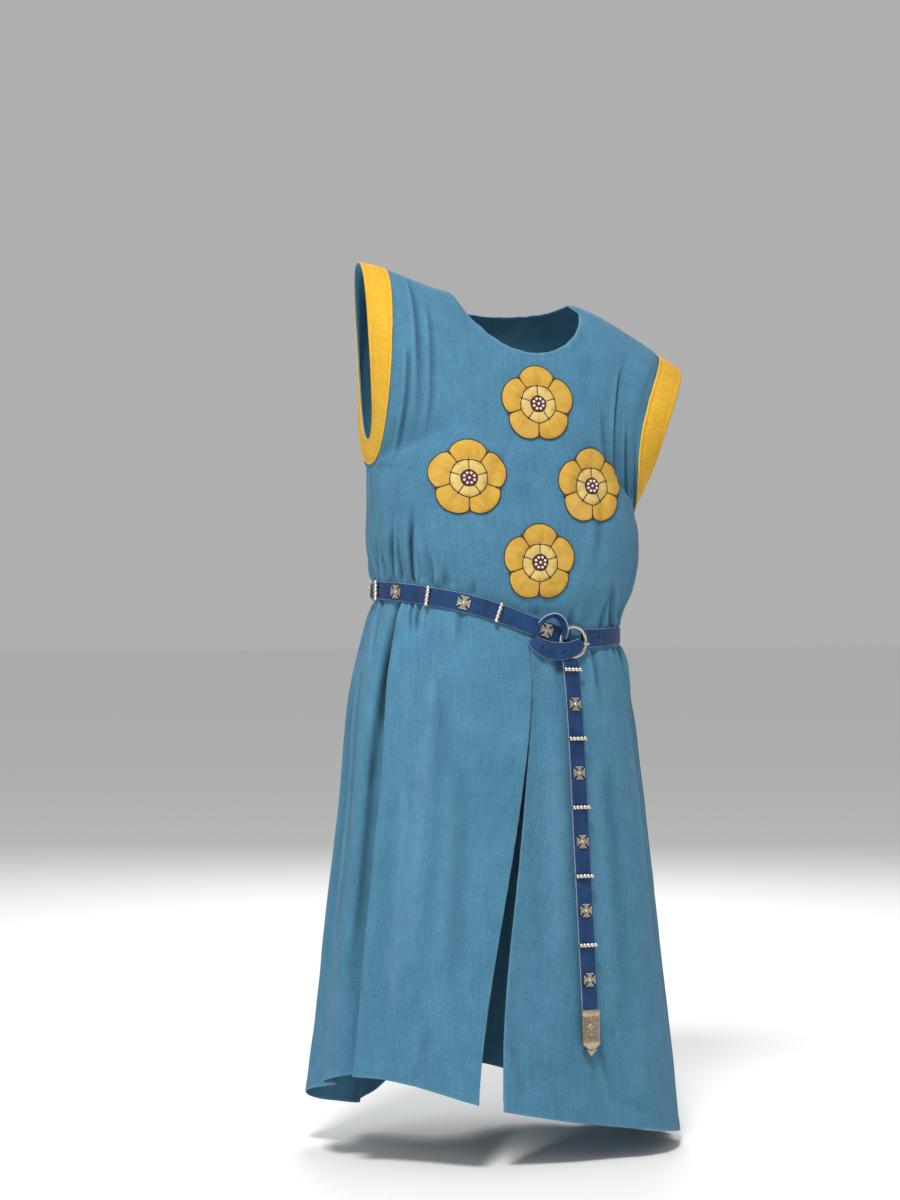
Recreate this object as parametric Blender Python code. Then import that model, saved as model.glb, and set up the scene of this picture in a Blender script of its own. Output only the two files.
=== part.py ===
"""Medieval surcoat with its own belt, in the hollow form it has when worn.

Metres, +Z up. The front of the garment faces -Y, and +X is the wearer's left. The origin is
the middle of the neck opening at shoulder height, where the wearer carries the garment.
"""

import math
from collections import namedtuple

import bmesh
import bpy
from mathutils import Vector
from mathutils.bvhtree import BVHTree

COLLECTION = "medieval_surcoat"

# Cloth and seams
WALL = 0.0020
SEAM_HALF_GAP = 0.00016
LAID_ON_GAP = 0.0003
BAND_WALL = 0.0011
BAND_START = 0.08
BAND_GAP = 0.0005
PATCH_WALL = 0.0010

# Grid of the panels: steps across the back, and rows in the skirts and in the yoke. The front's
# columns are stretches of so many steps between two angles.
FRONT_STRETCHES = ((-90, -46, 18), (-46, 0, 10), (0, 60, 12), (60, 90, 8))
BACK_STEPS = 30
FRONT_SKIRT_ROWS = 18
BACK_SKIRT_ROWS = 15
YOKE_ROWS = 12
STRIP_STEPS = 2
BELT_ROWS = (0.052, 0.030, 0.0145, -0.0145, -0.030, -0.060)

# Rings of the garment below the armholes, from the top down. level is the height at the
# axis, tilt the drop per metre towards the wearer's left, belt_dip how far the belt line sags
# in front, and round_front and round_back the powers of the oval's two halves.
Ring = namedtuple(
    "Ring", "name level centre_x half_width front back tilt belt_dip round_front round_back"
)
RINGS = [
    Ring("underarm", -0.2797, -0.008, 0.1940, 0.140, 0.126, 0.1847, 0.000, 2.8, 2.3),
    Ring("chest", -0.3400, -0.007, 0.1950, 0.143, 0.124, 0.1840, 0.004, 2.6, 2.4),
    Ring("blouse", -0.3850, -0.011, 0.1890, 0.144, 0.128, 0.1800, 0.014, 2.5, 2.4),
    Ring("over_belt", -0.4150, -0.014, 0.1800, 0.139, 0.130, 0.1760, 0.022, 2.3, 2.3),
    Ring("belt_top", -0.4350, -0.014, 0.1762, 0.132, 0.126, 0.1735, 0.024, 2.3, 2.3),
    Ring("belt", -0.4495, -0.014, 0.1760, 0.132, 0.126, 0.1735, 0.024, 2.3, 2.3),
    Ring("belt_low", -0.4640, -0.014, 0.1762, 0.132, 0.126, 0.1735, 0.024, 2.3, 2.3),
    Ring("under_belt", -0.4900, -0.014, 0.1850, 0.137, 0.133, 0.1730, 0.022, 2.3, 2.3),
    Ring("hip", -0.5785, -0.013, 0.2045, 0.150, 0.152, 0.1740, 0.012, 2.2, 2.2),
    Ring("thigh", -0.7715, -0.010, 0.2245, 0.165, 0.166, 0.1850, 0.000, 2.2, 2.2),
    Ring("knee", -0.9645, -0.010, 0.2470, 0.182, 0.184, 0.2050, 0.000, 2.2, 2.2),
    Ring("hem", -1.1360, -0.0095, 0.2655, 0.196, 0.200, 0.2200, 0.000, 2.2, 2.2),
]
BELT_LEVEL = -0.4495
DIP_CENTRE_X = 0.045
DIP_REACH_X = 0.1025
BELT_TILT = 0.17

# How much lower than the hem ring's plane the hem hangs, by angle from the front centre
Hang = namedtuple("Hang", "name angle drop")
HEM_LINE = [
    Hang("back_from_right", -180, -0.022),
    Hang("back_near_right", -170, -0.012),
    Hang("back_right", -155, 0.050),
    Hang("right_behind", -130, 0.066),
    Hang("right_corner", -110, 0.044),
    Hang("right_seam", -90, 0.028),
    Hang("front_right", -62, 0.000),
    Hang("front", 0, 0.000),
    Hang("front_left", 62, 0.000),
    Hang("left_seam", 90, 0.008),
    Hang("left_behind", 116, 0.016),
    Hang("back_left", 150, -0.008),
    Hang("back_near_left", 168, -0.020),
    Hang("back_from_left", 180, -0.022),
]
LEFT_FLAP_DROP = 0.012
HEM_REACH = 0.45

# Shoulder line from the raised right tip to the left tip
Spot = namedtuple("Spot", "name x z")
SHOULDER_LINE = [
    Spot("right_tip", -0.222, 0.0430),
    Spot("right_border", -0.183, 0.0350),
    Spot("right_neck", -0.095, 0.0080),
    Spot("left_neck", 0.095, -0.0060),
    Spot("left_middle", 0.184, -0.0460),
    Spot("left_border", 0.2270, -0.0720),
    Spot("left_tip", 0.263, -0.0930),
]
NECK_HALF_WIDTH = 0.095
NECK_DROP_FRONT = 0.088
NECK_DROP_BACK = 0.022
NECK_CORNER = 0.60
SHOULDER_ROUNDING = 0.24
SHOULDER_POWER = 2.2
YOKE_BLEND = 0.40
SIDE_HASTE = 0.86
HOLD_POWER = 4.0
YOKE_POWER = 2.0
YOKE_TAPER = 0.72
YOKE_TRAVEL = 0.25

# Armholes: the free edge of each, and the inner border of its band
Armhole = namedtuple(
    "Armhole", "side line top_x top_z front_x back_x low_x low_z front_reach back_reach"
)
ARMHOLES = [
    Armhole("right", "border", -0.1830, 0.0350, -0.1990, -0.188, -0.2020, -0.2424, 0.090, 0.088),
    Armhole("right", "edge", -0.2220, 0.0430, -0.2210, -0.206, -0.2060, -0.2040, 0.051, 0.046),
    Armhole("left", "border", 0.2270, -0.0720, 0.1620, 0.176, 0.1920, -0.3152, 0.107, 0.098),
    Armhole("left", "edge", 0.2630, -0.0930, 0.2120, 0.214, 0.1990, -0.2740, 0.093, 0.078),
]

# Folds of the cloth. Angles run round the ring from the front centre, positive to the wearer's
# left; start and full are distances below the belt line (negative above it) between which the
# fold grows from nothing to its whole depth; end_depth is its depth at the far edge. lean pulls
# the cloth sideways over the fold, so that it overhangs.
Fold = namedtuple(
    "Fold", "name angle end_angle width end_width start full depth end_depth lean"
)
SKIRT_FOLDS = [
    Fold("overlap_ridge", -62, -60, 4.5, 5.0, 0.00, 0.08, 0.006, 0.016, -3.0),
    Fold("overlap_valley", -69, -67, 3.6, 4.0, -0.01, 0.06, -0.012, -0.034, 2.0),
    Fold("side_roll", -82, -80, 7.0, 7.0, 0.00, 0.12, 0.005, 0.010, 0.0),
    Fold("gather_a", -54, -50, 3.6, 7.0, 0.00, 0.03, 0.0035, 0.000, 0.0),
    Fold("gather_b", -47, -42, 3.0, 8.0, 0.00, 0.03, -0.0035, 0.000, 0.0),
    Fold("gather_c", -41, -36, 3.0, 8.0, 0.00, 0.03, 0.0030, 0.000, 0.0),
    Fold("long_hollow", -36, -34, 7.0, 11.0, 0.05, 0.30, -0.005, -0.007, 0.0),
    Fold("flap_swell", -18, -22, 12.0, 14.0, 0.02, 0.40, 0.003, 0.008, 0.0),
    Fold("tail_hollow", 22, 16, 9.0, 12.0, 0.02, 0.20, -0.005, -0.006, 0.0),
    Fold("left_swell", 44, 40, 13.0, 14.0, 0.02, 0.25, 0.005, 0.008, 0.0),
    Fold("left_pinch", 64, 66, 4.0, 5.0, -0.01, 0.02, -0.008, -0.002, 0.0),
    Fold("seam_crease", 80, 82, 3.6, 4.5, 0.05, 0.30, -0.004, -0.011, 0.0),
    Fold("back_right_valley", -104, -104, 6.0, 8.0, -0.01, 0.08, -0.0120, -0.0330, 0.0),
    Fold("back_right_swell", -120, -120, 8.0, 12.0, 0.00, 0.15, 0.0075, 0.0210, 0.0),
    Fold("back_crease_a", -136, -138, 5.0, 9.0, -0.01, 0.06, -0.0090, -0.0270, 0.0),
    Fold("back_middle_swell", -158, -158, 10.0, 13.0, 0.00, 0.20, 0.0060, 0.0180, 0.0),
    Fold("back_crease_b", 178, 180, 5.0, 8.0, -0.01, 0.06, -0.0090, -0.0240, 0.0),
    Fold("back_left_swell", 158, 160, 8.0, 12.0, 0.00, 0.20, 0.0060, 0.0165, 0.0),
    Fold("back_crease_c", 140, 138, 5.0, 8.0, -0.01, 0.07, -0.0090, -0.0255, 0.0),
    Fold("back_left_roll", 120, 118, 8.0, 11.0, 0.00, 0.14, 0.0075, 0.0180, 0.0),
    Fold("back_left_valley", 103, 102, 5.0, 6.0, -0.01, 0.08, -0.0090, -0.0240, 0.0),
]
BODICE_FOLDS = [
    Fold("gather_1", -82, -84, 3.6, 6.0, 0.16, 0.03, -0.0055, 0.0, 0.0),
    Fold("gather_2", -74, -77, 3.2, 6.0, 0.15, 0.03, 0.0045, 0.0, 0.0),
    Fold("gather_3", -66, -68, 3.0, 5.5, 0.17, 0.03, -0.0060, 0.0, 0.0),
    Fold("gather_4", -58, -60, 3.0, 5.5, 0.14, 0.03, 0.0045, 0.0, 0.0),
    Fold("gather_5", -51, -52, 3.0, 5.0, 0.15, 0.03, -0.0055, 0.0, 0.0),
    Fold("gather_6", -43, -43, 3.0, 5.0, 0.11, 0.03, 0.0040, 0.0, 0.0),
    Fold("gather_7", -35, -34, 3.4, 5.0, 0.10, 0.03, -0.0040, 0.0, 0.0),
    Fold("gather_8", -14, -12, 3.6, 6.0, 0.09, 0.02, -0.0025, 0.0, 0.0),
    Fold("gather_9", 8, 8, 3.6, 6.0, 0.09, 0.02, -0.0025, 0.0, 0.0),
    Fold("gather_10", 30, 28, 3.6, 6.0, 0.09, 0.02, -0.0030, 0.0, 0.0),
    Fold("gather_11", 62, 60, 4.0, 5.5, 0.20, 0.03, -0.0070, 0.0, 0.0),
    Fold("gather_12", 72, 71, 4.0, 6.0, 0.16, 0.03, 0.0040, 0.0, 0.0),
    Fold("gather_13", 84, 84, 3.6, 6.0, 0.14, 0.03, -0.0040, 0.0, 0.0),
    Fold("back_gather_1", -100, -100, 4.2, 7.0, 0.16, 0.03, -0.0060, 0.0, 0.0),
    Fold("back_gather_2", -112, -111, 4.2, 7.0, 0.14, 0.03, 0.0045, 0.0, 0.0),
    Fold("back_gather_3", -124, -122, 4.2, 7.0, 0.16, 0.03, -0.0060, 0.0, 0.0),
    Fold("back_gather_4", -146, -145, 4.6, 7.0, 0.12, 0.03, -0.0050, 0.0, 0.0),
    Fold("back_gather_5", -168, -168, 4.6, 7.0, 0.14, 0.03, -0.0055, 0.0, 0.0),
    Fold("back_gather_6", 168, 168, 4.6, 7.0, 0.12, 0.03, 0.0040, 0.0, 0.0),
    Fold("back_gather_7", 150, 150, 4.6, 7.0, 0.15, 0.03, -0.0055, 0.0, 0.0),
    Fold("back_gather_8", 126, 126, 4.6, 7.0, 0.13, 0.03, -0.0055, 0.0, 0.0),
    Fold("back_gather_9", 112, 112, 4.2, 7.0, 0.13, 0.03, 0.0040, 0.0, 0.0),
    Fold("back_gather_10", 99, 99, 4.2, 7.0, 0.16, 0.03, -0.0055, 0.0, 0.0),
]
# Two long soft folds of the yoke: beside the left armhole, and down the chest
LEFT_CREASE_DEG = 66
LEFT_CREASE_WIDTH = 9
LEFT_CREASE_DEPTH = 0.004
CHEST_DRAPE_DEG = -20
CHEST_DRAPE_WIDTH = 34
CHEST_DRAPE_DEPTH = 0.003
FOLD_CLEAR_OF_BELT = 0.0012
FLAT_UNDER_BELT = 0.020

# Front slit: from just under the belt to the hem, drifting to the wearer's right
SLIT_TOP = 0.030
SLIT_DRIFT_DEG = -16.5
SLIT_HEM_GAP = 0.039
SLIT_TOP_GAP = 0.0007
SLIT_LAP = 0.005
LEFT_LAP_SHARE = -0.6
SLIT_REACH = 0.5
SLIT_GROWS_IN = 0.05

# Four five-petalled roses in a lozenge on the chest, each a stitched-down patch
Rose = namedtuple("Rose", "name x z lift")
ROSES = [
    Rose("rose_top", -0.002, -0.158, 0.0007),
    Rose("rose_right", -0.104, -0.262, 0.0009),
    Rose("rose_left", 0.078, -0.271, 0.0014),
    Rose("rose_low", -0.004, -0.378, 0.0009),
]
ROSE_RADIUS = 0.054
ROSE_NOTCH = 0.20
ROSE_PETALS = 5
ROSE_POINTS = 30
ROSE_RINGS = 4

# Belt
STRAP_WIDTH = 0.025
STRAP_THICK = 0.0030
STRAP_STANDOFF = 0.0004
WAIST_STATIONS = 60
KNOT_STEPS = 3
BAR_WIDTH = 0.029
BAR_RADIUS = 0.0032
BAR_WAIST = 0.0022
BAR_BEADS = 5
STUD_SIZE = 0.018
STUD_THICK = 0.0024
STUD_NECK = 0.0024
STUD_FLARE = 0.36
STUD_RISE = 1.25
FITTING_PITCH = 0.100
WAIST_BARS = 6
WAIST_START_DEG = 17.0
WAIST_END_DEG = 23.5
BUCKLE_X = 0.0500
BUCKLE_DROP = 0.0070
BUCKLE_RADIUS = 0.0210
BUCKLE_WIRE = 0.0026
TONGUE_HALF = 0.0012
# Tongue: distance from the ring's middle, height over its plane, half width
TONGUE_ROWS = ((0.0162, 0.0030, 0.0021), (0.0178, 0.0038, 0.0020), (0.0215, 0.0044, 0.0017),
               (0.0248, 0.0040, 0.0012))
TAIL_PITCH = 0.0950
TAIL_BARS = 5
TAIL_FIRST_BAR = 0.0140
STRAP_END_WIDTH = 0.0270
STRAP_END_BODY = 0.048
STRAP_END_TIP = 0.015
STRAP_END_THICK = 0.0050
STRAP_END_SHOULDER = 0.004
STRAP_END_NARROW = 0.55

# Path of the strap after the buckle: x, height over the belt line, distance of its middle out
# from the cloth, and how far its width is turned out of the cloth's plane
Knot = namedtuple("Knot", "name x rise out turn_deg width")
RETURN_PATH = [
    Knot("inside_ring", 0.0600, -0.0065, 0.0118, 0, 0.0150),
    Knot("over_ring", 0.0530, -0.0130, 0.0128, 0, 0.0200),
    Knot("left_rim", 0.0420, -0.0195, 0.0140, 0, 0.0230),
    Knot("past_ring", 0.0270, -0.0245, 0.0135, 0, 0.0245),
    Knot("low_middle", 0.0120, -0.0255, 0.0110, 0, 0.0235),
    Knot("left_turn", 0.0000, -0.0225, 0.0082, 0, 0.0205),
    Knot("left_end", -0.0070, -0.0185, 0.0056, 0, 0.0150),
]
LOOP_PATH = [
    Knot("rise", -0.0050, 0.0040, 0.0108, 30, 0.0100),
    Knot("shoulder", 0.0000, 0.0150, 0.0126, 50, 0.0120),
    Knot("crown", 0.0100, 0.0225, 0.0148, 66, 0.0135),
    Knot("far_side", 0.0210, 0.0195, 0.0162, 72, 0.0140),
    Knot("fall", 0.0285, 0.0110, 0.0163, 72, 0.0130),
    Knot("tuck", 0.0310, 0.0020, 0.0154, 66, 0.0115),
    Knot("under", 0.0315, -0.0060, 0.0145, 45, 0.0070),
]
TAIL_TOP_X = 0.0430
TAIL_LOW_X = 0.0540
TAIL_TOP_RISE = -0.0340
TAIL_LENGTH = 0.545
TAIL_STANDOFF = 0.0050
TAIL_SLOPE = 0.995
TAIL_STATIONS = 20

# Finishes: red, green, blue, roughness, metallic
CLOTH_BLUE = (0.075, 0.235, 0.365, 0.92, 0.0)
BAND_YELLOW = (0.84, 0.50, 0.06, 0.88, 0.0)
ROSE_GOLD = (0.88, 0.52, 0.09, 0.70, 0.0)
LEATHER_BLUE = (0.022, 0.060, 0.165, 0.46, 0.0)
OLD_SILVER = (0.62, 0.57, 0.47, 0.32, 1.0)
OLD_BRONZE = (0.36, 0.27, 0.15, 0.38, 1.0)

OUTLINE_UNDER_DEG = 40


def ease(t):
    """Smooth step from 0 to 1."""
    t = min(max(t, 0.0), 1.0)
    return t * t * (3 - 2 * t)


def curve_value(keys, values, key):
    """Smooth value of a table column between its rows, without overshoot at the ends."""
    if keys[0] > keys[-1]:
        keys, values = keys[::-1], values[::-1]
    if key <= keys[0]:
        return values[0]
    if key >= keys[-1]:
        return values[-1]
    i = max(n for n in range(len(keys) - 1) if keys[n] <= key)
    slopes = []
    for n in (i, i + 1):
        low, high = max(n - 1, 0), min(n + 1, len(keys) - 1)
        slopes.append((values[high] - values[low]) / (keys[high] - keys[low]))
    step = keys[i + 1] - keys[i]
    t = (key - keys[i]) / step
    return (
        values[i] * (2 * t**3 - 3 * t**2 + 1)
        + slopes[0] * step * (t**3 - 2 * t**2 + t)
        + values[i + 1] * (3 * t**2 - 2 * t**3)
        + slopes[1] * step * (t**3 - t**2)
    )


def ring_at(level):
    """The ring's sizes at a level between the rows of RINGS."""
    levels = [r.level for r in RINGS]
    values = [curve_value(levels, [getattr(r, f) for r in RINGS], level) for f in Ring._fields[2:]]
    return Ring("between", level, *values)


def signed_power(value, power):
    return math.copysign(abs(value) ** power, value)


def hem_drop(angle, level):
    """How far the cloth hangs below its ring near the hem."""
    hem = RINGS[-1].level
    near = ease(1 - (level - hem) / HEM_REACH)
    if near == 0.0:
        return 0.0
    turned = (math.degrees(angle) + 180) % 360 - 180
    return near * curve_value([h.angle for h in HEM_LINE], [h.drop for h in HEM_LINE], turned)


def oval_point(ring, angle):
    """Point of the smooth oval at an angle from the front centre, and the normal there."""
    in_front = math.cos(angle) > 0
    depth = ring.front if in_front else ring.back
    roundness = ring.round_front if in_front else ring.round_back
    power = 2 / roundness
    across, along = signed_power(math.sin(angle), power), signed_power(math.cos(angle), power)
    x = ring.centre_x + ring.half_width * across
    y = -depth * along
    rise = roundness - 1
    normal = Vector(
        (
            signed_power(across, rise) / ring.half_width,
            -signed_power(along, rise) / depth,
            0,
        )
    ).normalized()
    forward = max(math.cos(angle), 0.0) ** 0.5
    dip = ring.belt_dip * math.exp(-(((x - DIP_CENTRE_X) / DIP_REACH_X) ** 2)) * forward
    z = ring.level - ring.tilt * x - dip - hem_drop(angle, ring.level)
    return Vector((x, y, z)), normal


def slit_shift(level):
    """Angle, in radians, by which the front slit lies off the front centre."""
    along = (BELT_LEVEL - level) / (BELT_LEVEL - RINGS[-1].level)
    return math.radians(SLIT_DRIFT_DEG) * ease(along) if along > 0 else 0.0


def slit_gap(level):
    """Width of the slit's opening at a level."""
    along = (BELT_LEVEL - SLIT_TOP - level) / (BELT_LEVEL - SLIT_TOP - RINGS[-1].level)
    return SLIT_TOP_GAP + (SLIT_HEM_GAP - SLIT_TOP_GAP) * max(along, 0.0) ** 1.6


def fold_effect(folds, angle_deg, travel, reach):
    """Depth and sideways pull of all folds at an angle; travel is the distance from the belt
    line along the cloth, and reach its whole length that way."""
    depth, pull = 0.0, 0.0
    for fold in folds:
        along = min(max(travel / reach, 0.0), 1.0)
        centre = fold.angle + (fold.end_angle - fold.angle) * along
        width = fold.width + (fold.end_width - fold.width) * along
        off = ((angle_deg - centre + 180) % 360 - 180) / width
        if abs(off) >= 2:
            continue
        shape = (1 - (off / 2) ** 2) ** 4
        grown = ease((travel - fold.start) / (fold.full - fold.start))
        size = fold.depth + (fold.end_depth - fold.depth) * along
        depth += shape * grown * size
        pull += shape * grown * fold.lean * along
    return depth, pull


def skirt_effect(angle_deg, level):
    return fold_effect(SKIRT_FOLDS, angle_deg, BELT_LEVEL - level, BELT_LEVEL - RINGS[-1].level)


def bodice_effect(angle_deg, travel):
    """Gathers over the belt, which die out upwards."""
    depth = 0.0
    for fold in BODICE_FOLDS:
        along = min(max(travel / fold.start, 0.0), 1.0)
        centre = fold.angle + (fold.end_angle - fold.angle) * along
        width = fold.width + (fold.end_width - fold.width) * along
        off = ((angle_deg - centre + 180) % 360 - 180) / width
        if abs(off) < 2:
            shape = (1 - (off / 2) ** 2) ** 4
            depth += shape * fold.depth * (1 - ease(along))
    return depth


def skirt_point(angle, level):
    """Outer face of the cloth below the armholes, folds and all; the strap presses them flat."""
    angle_deg = math.degrees(angle)
    travel = level - BELT_LEVEL
    depth, pull = skirt_effect(angle_deg, level)
    depth += bodice_effect(angle_deg, travel) if travel > 0 else 0.0
    pressed = math.exp(-((travel / FLAT_UNDER_BELT) ** 6))
    depth = depth * (1 - pressed) - FOLD_CLEAR_OF_BELT * pressed
    point, normal = oval_point(ring_at(level), angle + math.radians(pull))
    return point + normal * depth


def armhole(side, line):
    """Row of ARMHOLES; a border's lowest point is where the underarm ring meets the side seam."""
    hole = next(a for a in ARMHOLES if a.side == side and a.line == line)
    if line == "edge":
        return hole
    ring = RINGS[0]
    low_x = ring.centre_x + ring.half_width * (1 if side == "left" else -1)
    return hole._replace(low_x=low_x, low_z=ring.level - ring.tilt * low_x)


def armhole_point(hole, phi):
    """Point on an armhole line; phi is 0 at the shoulder, a half turn at the underarm, and
    positive in front."""
    up, out = math.cos(phi), math.sin(phi)
    middle_x = hole.front_x if out > 0 else hole.back_x
    reach = hole.front_reach if out > 0 else hole.back_reach
    straight = hole.top_x * (1 + up) / 2 + hole.low_x * (1 - up) / 2
    x = straight + (middle_x - (hole.top_x + hole.low_x) / 2) * out**2
    z = (hole.top_z + hole.low_z) / 2 + (hole.top_z - hole.low_z) / 2 * up
    return Vector((x, -reach * out, z))


def shoulder_height(x):
    return curve_value([s.x for s in SHOULDER_LINE], [s.z for s in SHOULDER_LINE], x)


def top_height(x, front):
    """Height of the panel's upper edge: the shoulder line, cut down at the neck."""
    height = shoulder_height(x)
    off = abs(x) / NECK_HALF_WIDTH
    if off < 1:
        drop = NECK_DROP_FRONT if front else NECK_DROP_BACK
        height -= drop * (1 - off**2) ** NECK_CORNER
    return height


def yoke_point(angle, up):
    """Outer face of the cloth over the armholes' lowest points; up runs from 0 there to 1 at
    the shoulder seam and neckline. angle is that of the ring below, 0 at the front centre."""
    front = abs(angle) <= math.pi / 2 + 1e-9
    phi = math.acos(2 * up - 1)
    ring = RINGS[0]
    roundness = ring.round_front if front else ring.round_back
    across = signed_power(math.sin(angle), 2 / roundness)
    open_up = ease(up / (YOKE_BLEND * (1 - SIDE_HASTE * abs(across) ** HOLD_POWER)))
    turned = abs(angle) if front else math.pi - abs(angle)
    even = math.copysign(turned / math.pi + math.sin(turned) / 2, across)
    across += (even - across) * open_up
    hole = armhole("right" if across < 0 else "left", "border")
    edge = armhole_point(hole, phi if front else -phi)
    hold = abs(across) ** HOLD_POWER
    pull = hold + (1 - hold) * ease(up / YOKE_BLEND)
    side_x = hole.low_x + (edge.x - hole.low_x) * pull
    side_reach = abs(edge.y) * pull
    middle = ring.centre_x * (1 - up)
    x = middle + abs(across) * (side_x - middle)
    low = ring.level - ring.tilt * x
    z = low + (top_height(x, front) - low) * up
    deep = ring.front if front else ring.back
    below = min(max((shoulder_height(x) - z) / SHOULDER_ROUNDING, 0.0), 1.0)
    deep *= (1 - (1 - below) ** SHOULDER_POWER) ** (1 / SHOULDER_POWER)
    power = roundness + (YOKE_POWER - roundness) * open_up
    taper = 1 / roundness + (YOKE_TAPER - 1 / roundness) * open_up
    reach = side_reach + (deep - side_reach) * (1 - abs(across) ** power) ** taper
    if up >= 1:
        reach = 0.0 if abs(x) >= NECK_HALF_WIDTH else reach
    return Vector((x, -reach if front else reach, z))


def yoke_folds(angle, up):
    """Gathers and the crease beside the left armhole, where they run up into the yoke."""
    angle_deg = math.degrees(angle)
    travel = RINGS[0].level - BELT_LEVEL + up * YOKE_TRAVEL
    depth = bodice_effect(angle_deg, travel) * (1 - ease(up / 0.5))
    crease = math.exp(-(((angle_deg - LEFT_CREASE_DEG) / LEFT_CREASE_WIDTH) ** 2))
    depth -= LEFT_CREASE_DEPTH * crease * ease(up / 0.2) * (1 - ease((up - 0.55) / 0.4))
    drape = math.exp(-(((angle_deg - CHEST_DRAPE_DEG) / CHEST_DRAPE_WIDTH) ** 2))
    depth -= CHEST_DRAPE_DEPTH * drape * math.sin(math.pi * up)
    return depth


def cloth_point(angle, height):
    """Outer face of the whole garment. height is a level below the armholes, or that of the
    underarm ring plus 0 to 1 in the yoke."""
    base = RINGS[0].level
    if height <= base:
        return skirt_point(angle, height)
    up = height - base
    point = yoke_point(angle, up)
    depth = yoke_folds(angle, up)
    outward = Vector((point.x * 0.4, point.y, 0.0))
    return point + outward.normalized() * depth if outward.length > 0.01 else point


def skirt_on_front(x, z):
    """Point and normal of the smooth skirt, without folds, at a given x and z."""
    level, angle = z + BELT_TILT * x, 0.0
    for _ in range(12):
        ring = ring_at(level)
        share = min(max((x - ring.centre_x) / ring.half_width, -0.98), 0.98)
        angle = math.asin(signed_power(share, ring.round_front / 2))
        point, normal = oval_point(ring, angle)
        level += z - point.z
    return point, normal


def principled(name, finish):
    red, green, blue, rough, metal = finish
    material = bpy.data.materials.new(name)
    material.use_nodes = True
    shader = material.node_tree.nodes["Principled BSDF"]
    shader.inputs["Base Color"].default_value = (red, green, blue, 1)
    shader.inputs["Roughness"].default_value = rough
    shader.inputs["Metallic"].default_value = metal
    material.diffuse_color = (red, green, blue, 1)
    return material


def add_object(name, mesh_data, finish):
    """Turn a bmesh into a named object with its own material."""
    bmesh.ops.recalc_face_normals(mesh_data, faces=mesh_data.faces)
    mesh = bpy.data.meshes.new(name)
    mesh_data.to_mesh(mesh)
    mesh_data.free()
    mesh.materials.append(principled(name + "_finish", finish))
    mesh.shade_smooth()
    mesh.set_sharp_from_angle(angle=math.radians(OUTLINE_UNDER_DEG))
    piece = bpy.data.objects.new(name, mesh)
    bpy.data.collections[COLLECTION].objects.link(piece)
    return piece


def sheet_object(name, quads, finish, outward, wall):
    """Object from a list of quads of points; equal points are one vertex. outward gives the
    direction that a face at a point has to look in. The wall is laid on the outside, or on the
    inside if it is negative; along a seam it keeps to the seam's plane."""
    data = bmesh.new()
    made = {}
    for quad in quads:
        corners = []
        for point in quad:
            key = tuple(round(c, 6) for c in point)
            if key not in made:
                made[key] = data.verts.new(point)
            if made[key] not in corners:
                corners.append(made[key])
        if len(corners) > 2:
            data.faces.new(corners)
    bmesh.ops.recalc_face_normals(data, faces=data.faces)
    largest = max(data.faces, key=lambda face: face.calc_area())
    if largest.normal.dot(outward(largest.calc_center_median())) < 0:
        bmesh.ops.reverse_faces(data, faces=data.faces)
    data.normal_update()
    faces, borders = list(data.faces), [edge for edge in data.edges if edge.is_boundary]
    other_side = {}
    for vertex in list(data.verts):
        direction = vertex.normal.copy()
        if abs(vertex.co.y) < SEAM_HALF_GAP * 1.01:
            direction.y = 0
        other_side[vertex] = data.verts.new(vertex.co + direction.normalized() * wall)
    for face in faces:
        data.faces.new([other_side[vertex] for vertex in face.verts])
    for edge in borders:
        first, second = edge.verts
        data.faces.new((first, second, other_side[second], other_side[first]))
    return add_object(name, data, finish)


def panel_heights(skirt_rows):
    """Heights of a panel's rows: closer together at the belt, and even round the armhole."""
    top, hem = RINGS[0].level, RINGS[-1].level
    near_belt = [BELT_LEVEL + rise for rise in BELT_ROWS]
    above = [top + (near_belt[0] - top) * n / 3 for n in range(3)]
    free = skirt_rows - len(near_belt) - len(above)
    below = [
        near_belt[-1] + (hem - near_belt[-1]) * (n + 1) / free for n in range(free)
    ]
    levels = above + near_belt + below
    yoke = [top + (1 - math.cos(math.pi * n / YOKE_ROWS)) / 2 for n in range(1, YOKE_ROWS + 1)]
    return yoke[::-1] + levels


def front_angle(share, level):
    """Angle of a column of the front panel; the column at share 0 follows the slit."""
    shift = slit_shift(level) if level <= BELT_LEVEL else 0.0
    return share * math.pi / 2 + shift * (1 - share * share)


def strip_quads(front):
    """Quads of the panel under both armhole bands, from the band's border to the free edge."""
    quads = []
    turn = 1 if front else -1
    shift = Vector((0, -SEAM_HALF_GAP * turn, 0))
    for side in ("right", "left"):
        border, edge = armhole(side, "border"), armhole(side, "edge")
        for row in range(YOKE_ROWS):
            ends = []
            for n in (row, row + 1):
                phi = turn * math.pi * n / YOKE_ROWS
                inner, outer = armhole_point(border, phi), armhole_point(edge, phi)
                on_seam = n in (0, YOKE_ROWS)
                nudge = shift if on_seam else Vector((0, 0, 0))
                ends.append([
                    inner.lerp(outer, k / STRIP_STEPS) + nudge for k in range(STRIP_STEPS + 1)
                ])
            for k in range(STRIP_STEPS):
                quads.append((ends[0][k], ends[0][k + 1], ends[1][k + 1], ends[1][k]))
    return quads


def front_shares():
    """Columns of the front, closest together over the deep folds at the wearer's right."""
    shares = [-1.0]
    for start, end, steps in FRONT_STRETCHES:
        shares += [(start + (end - start) * (n + 1) / steps) / 90 for n in range(steps)]
    return shares


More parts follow.
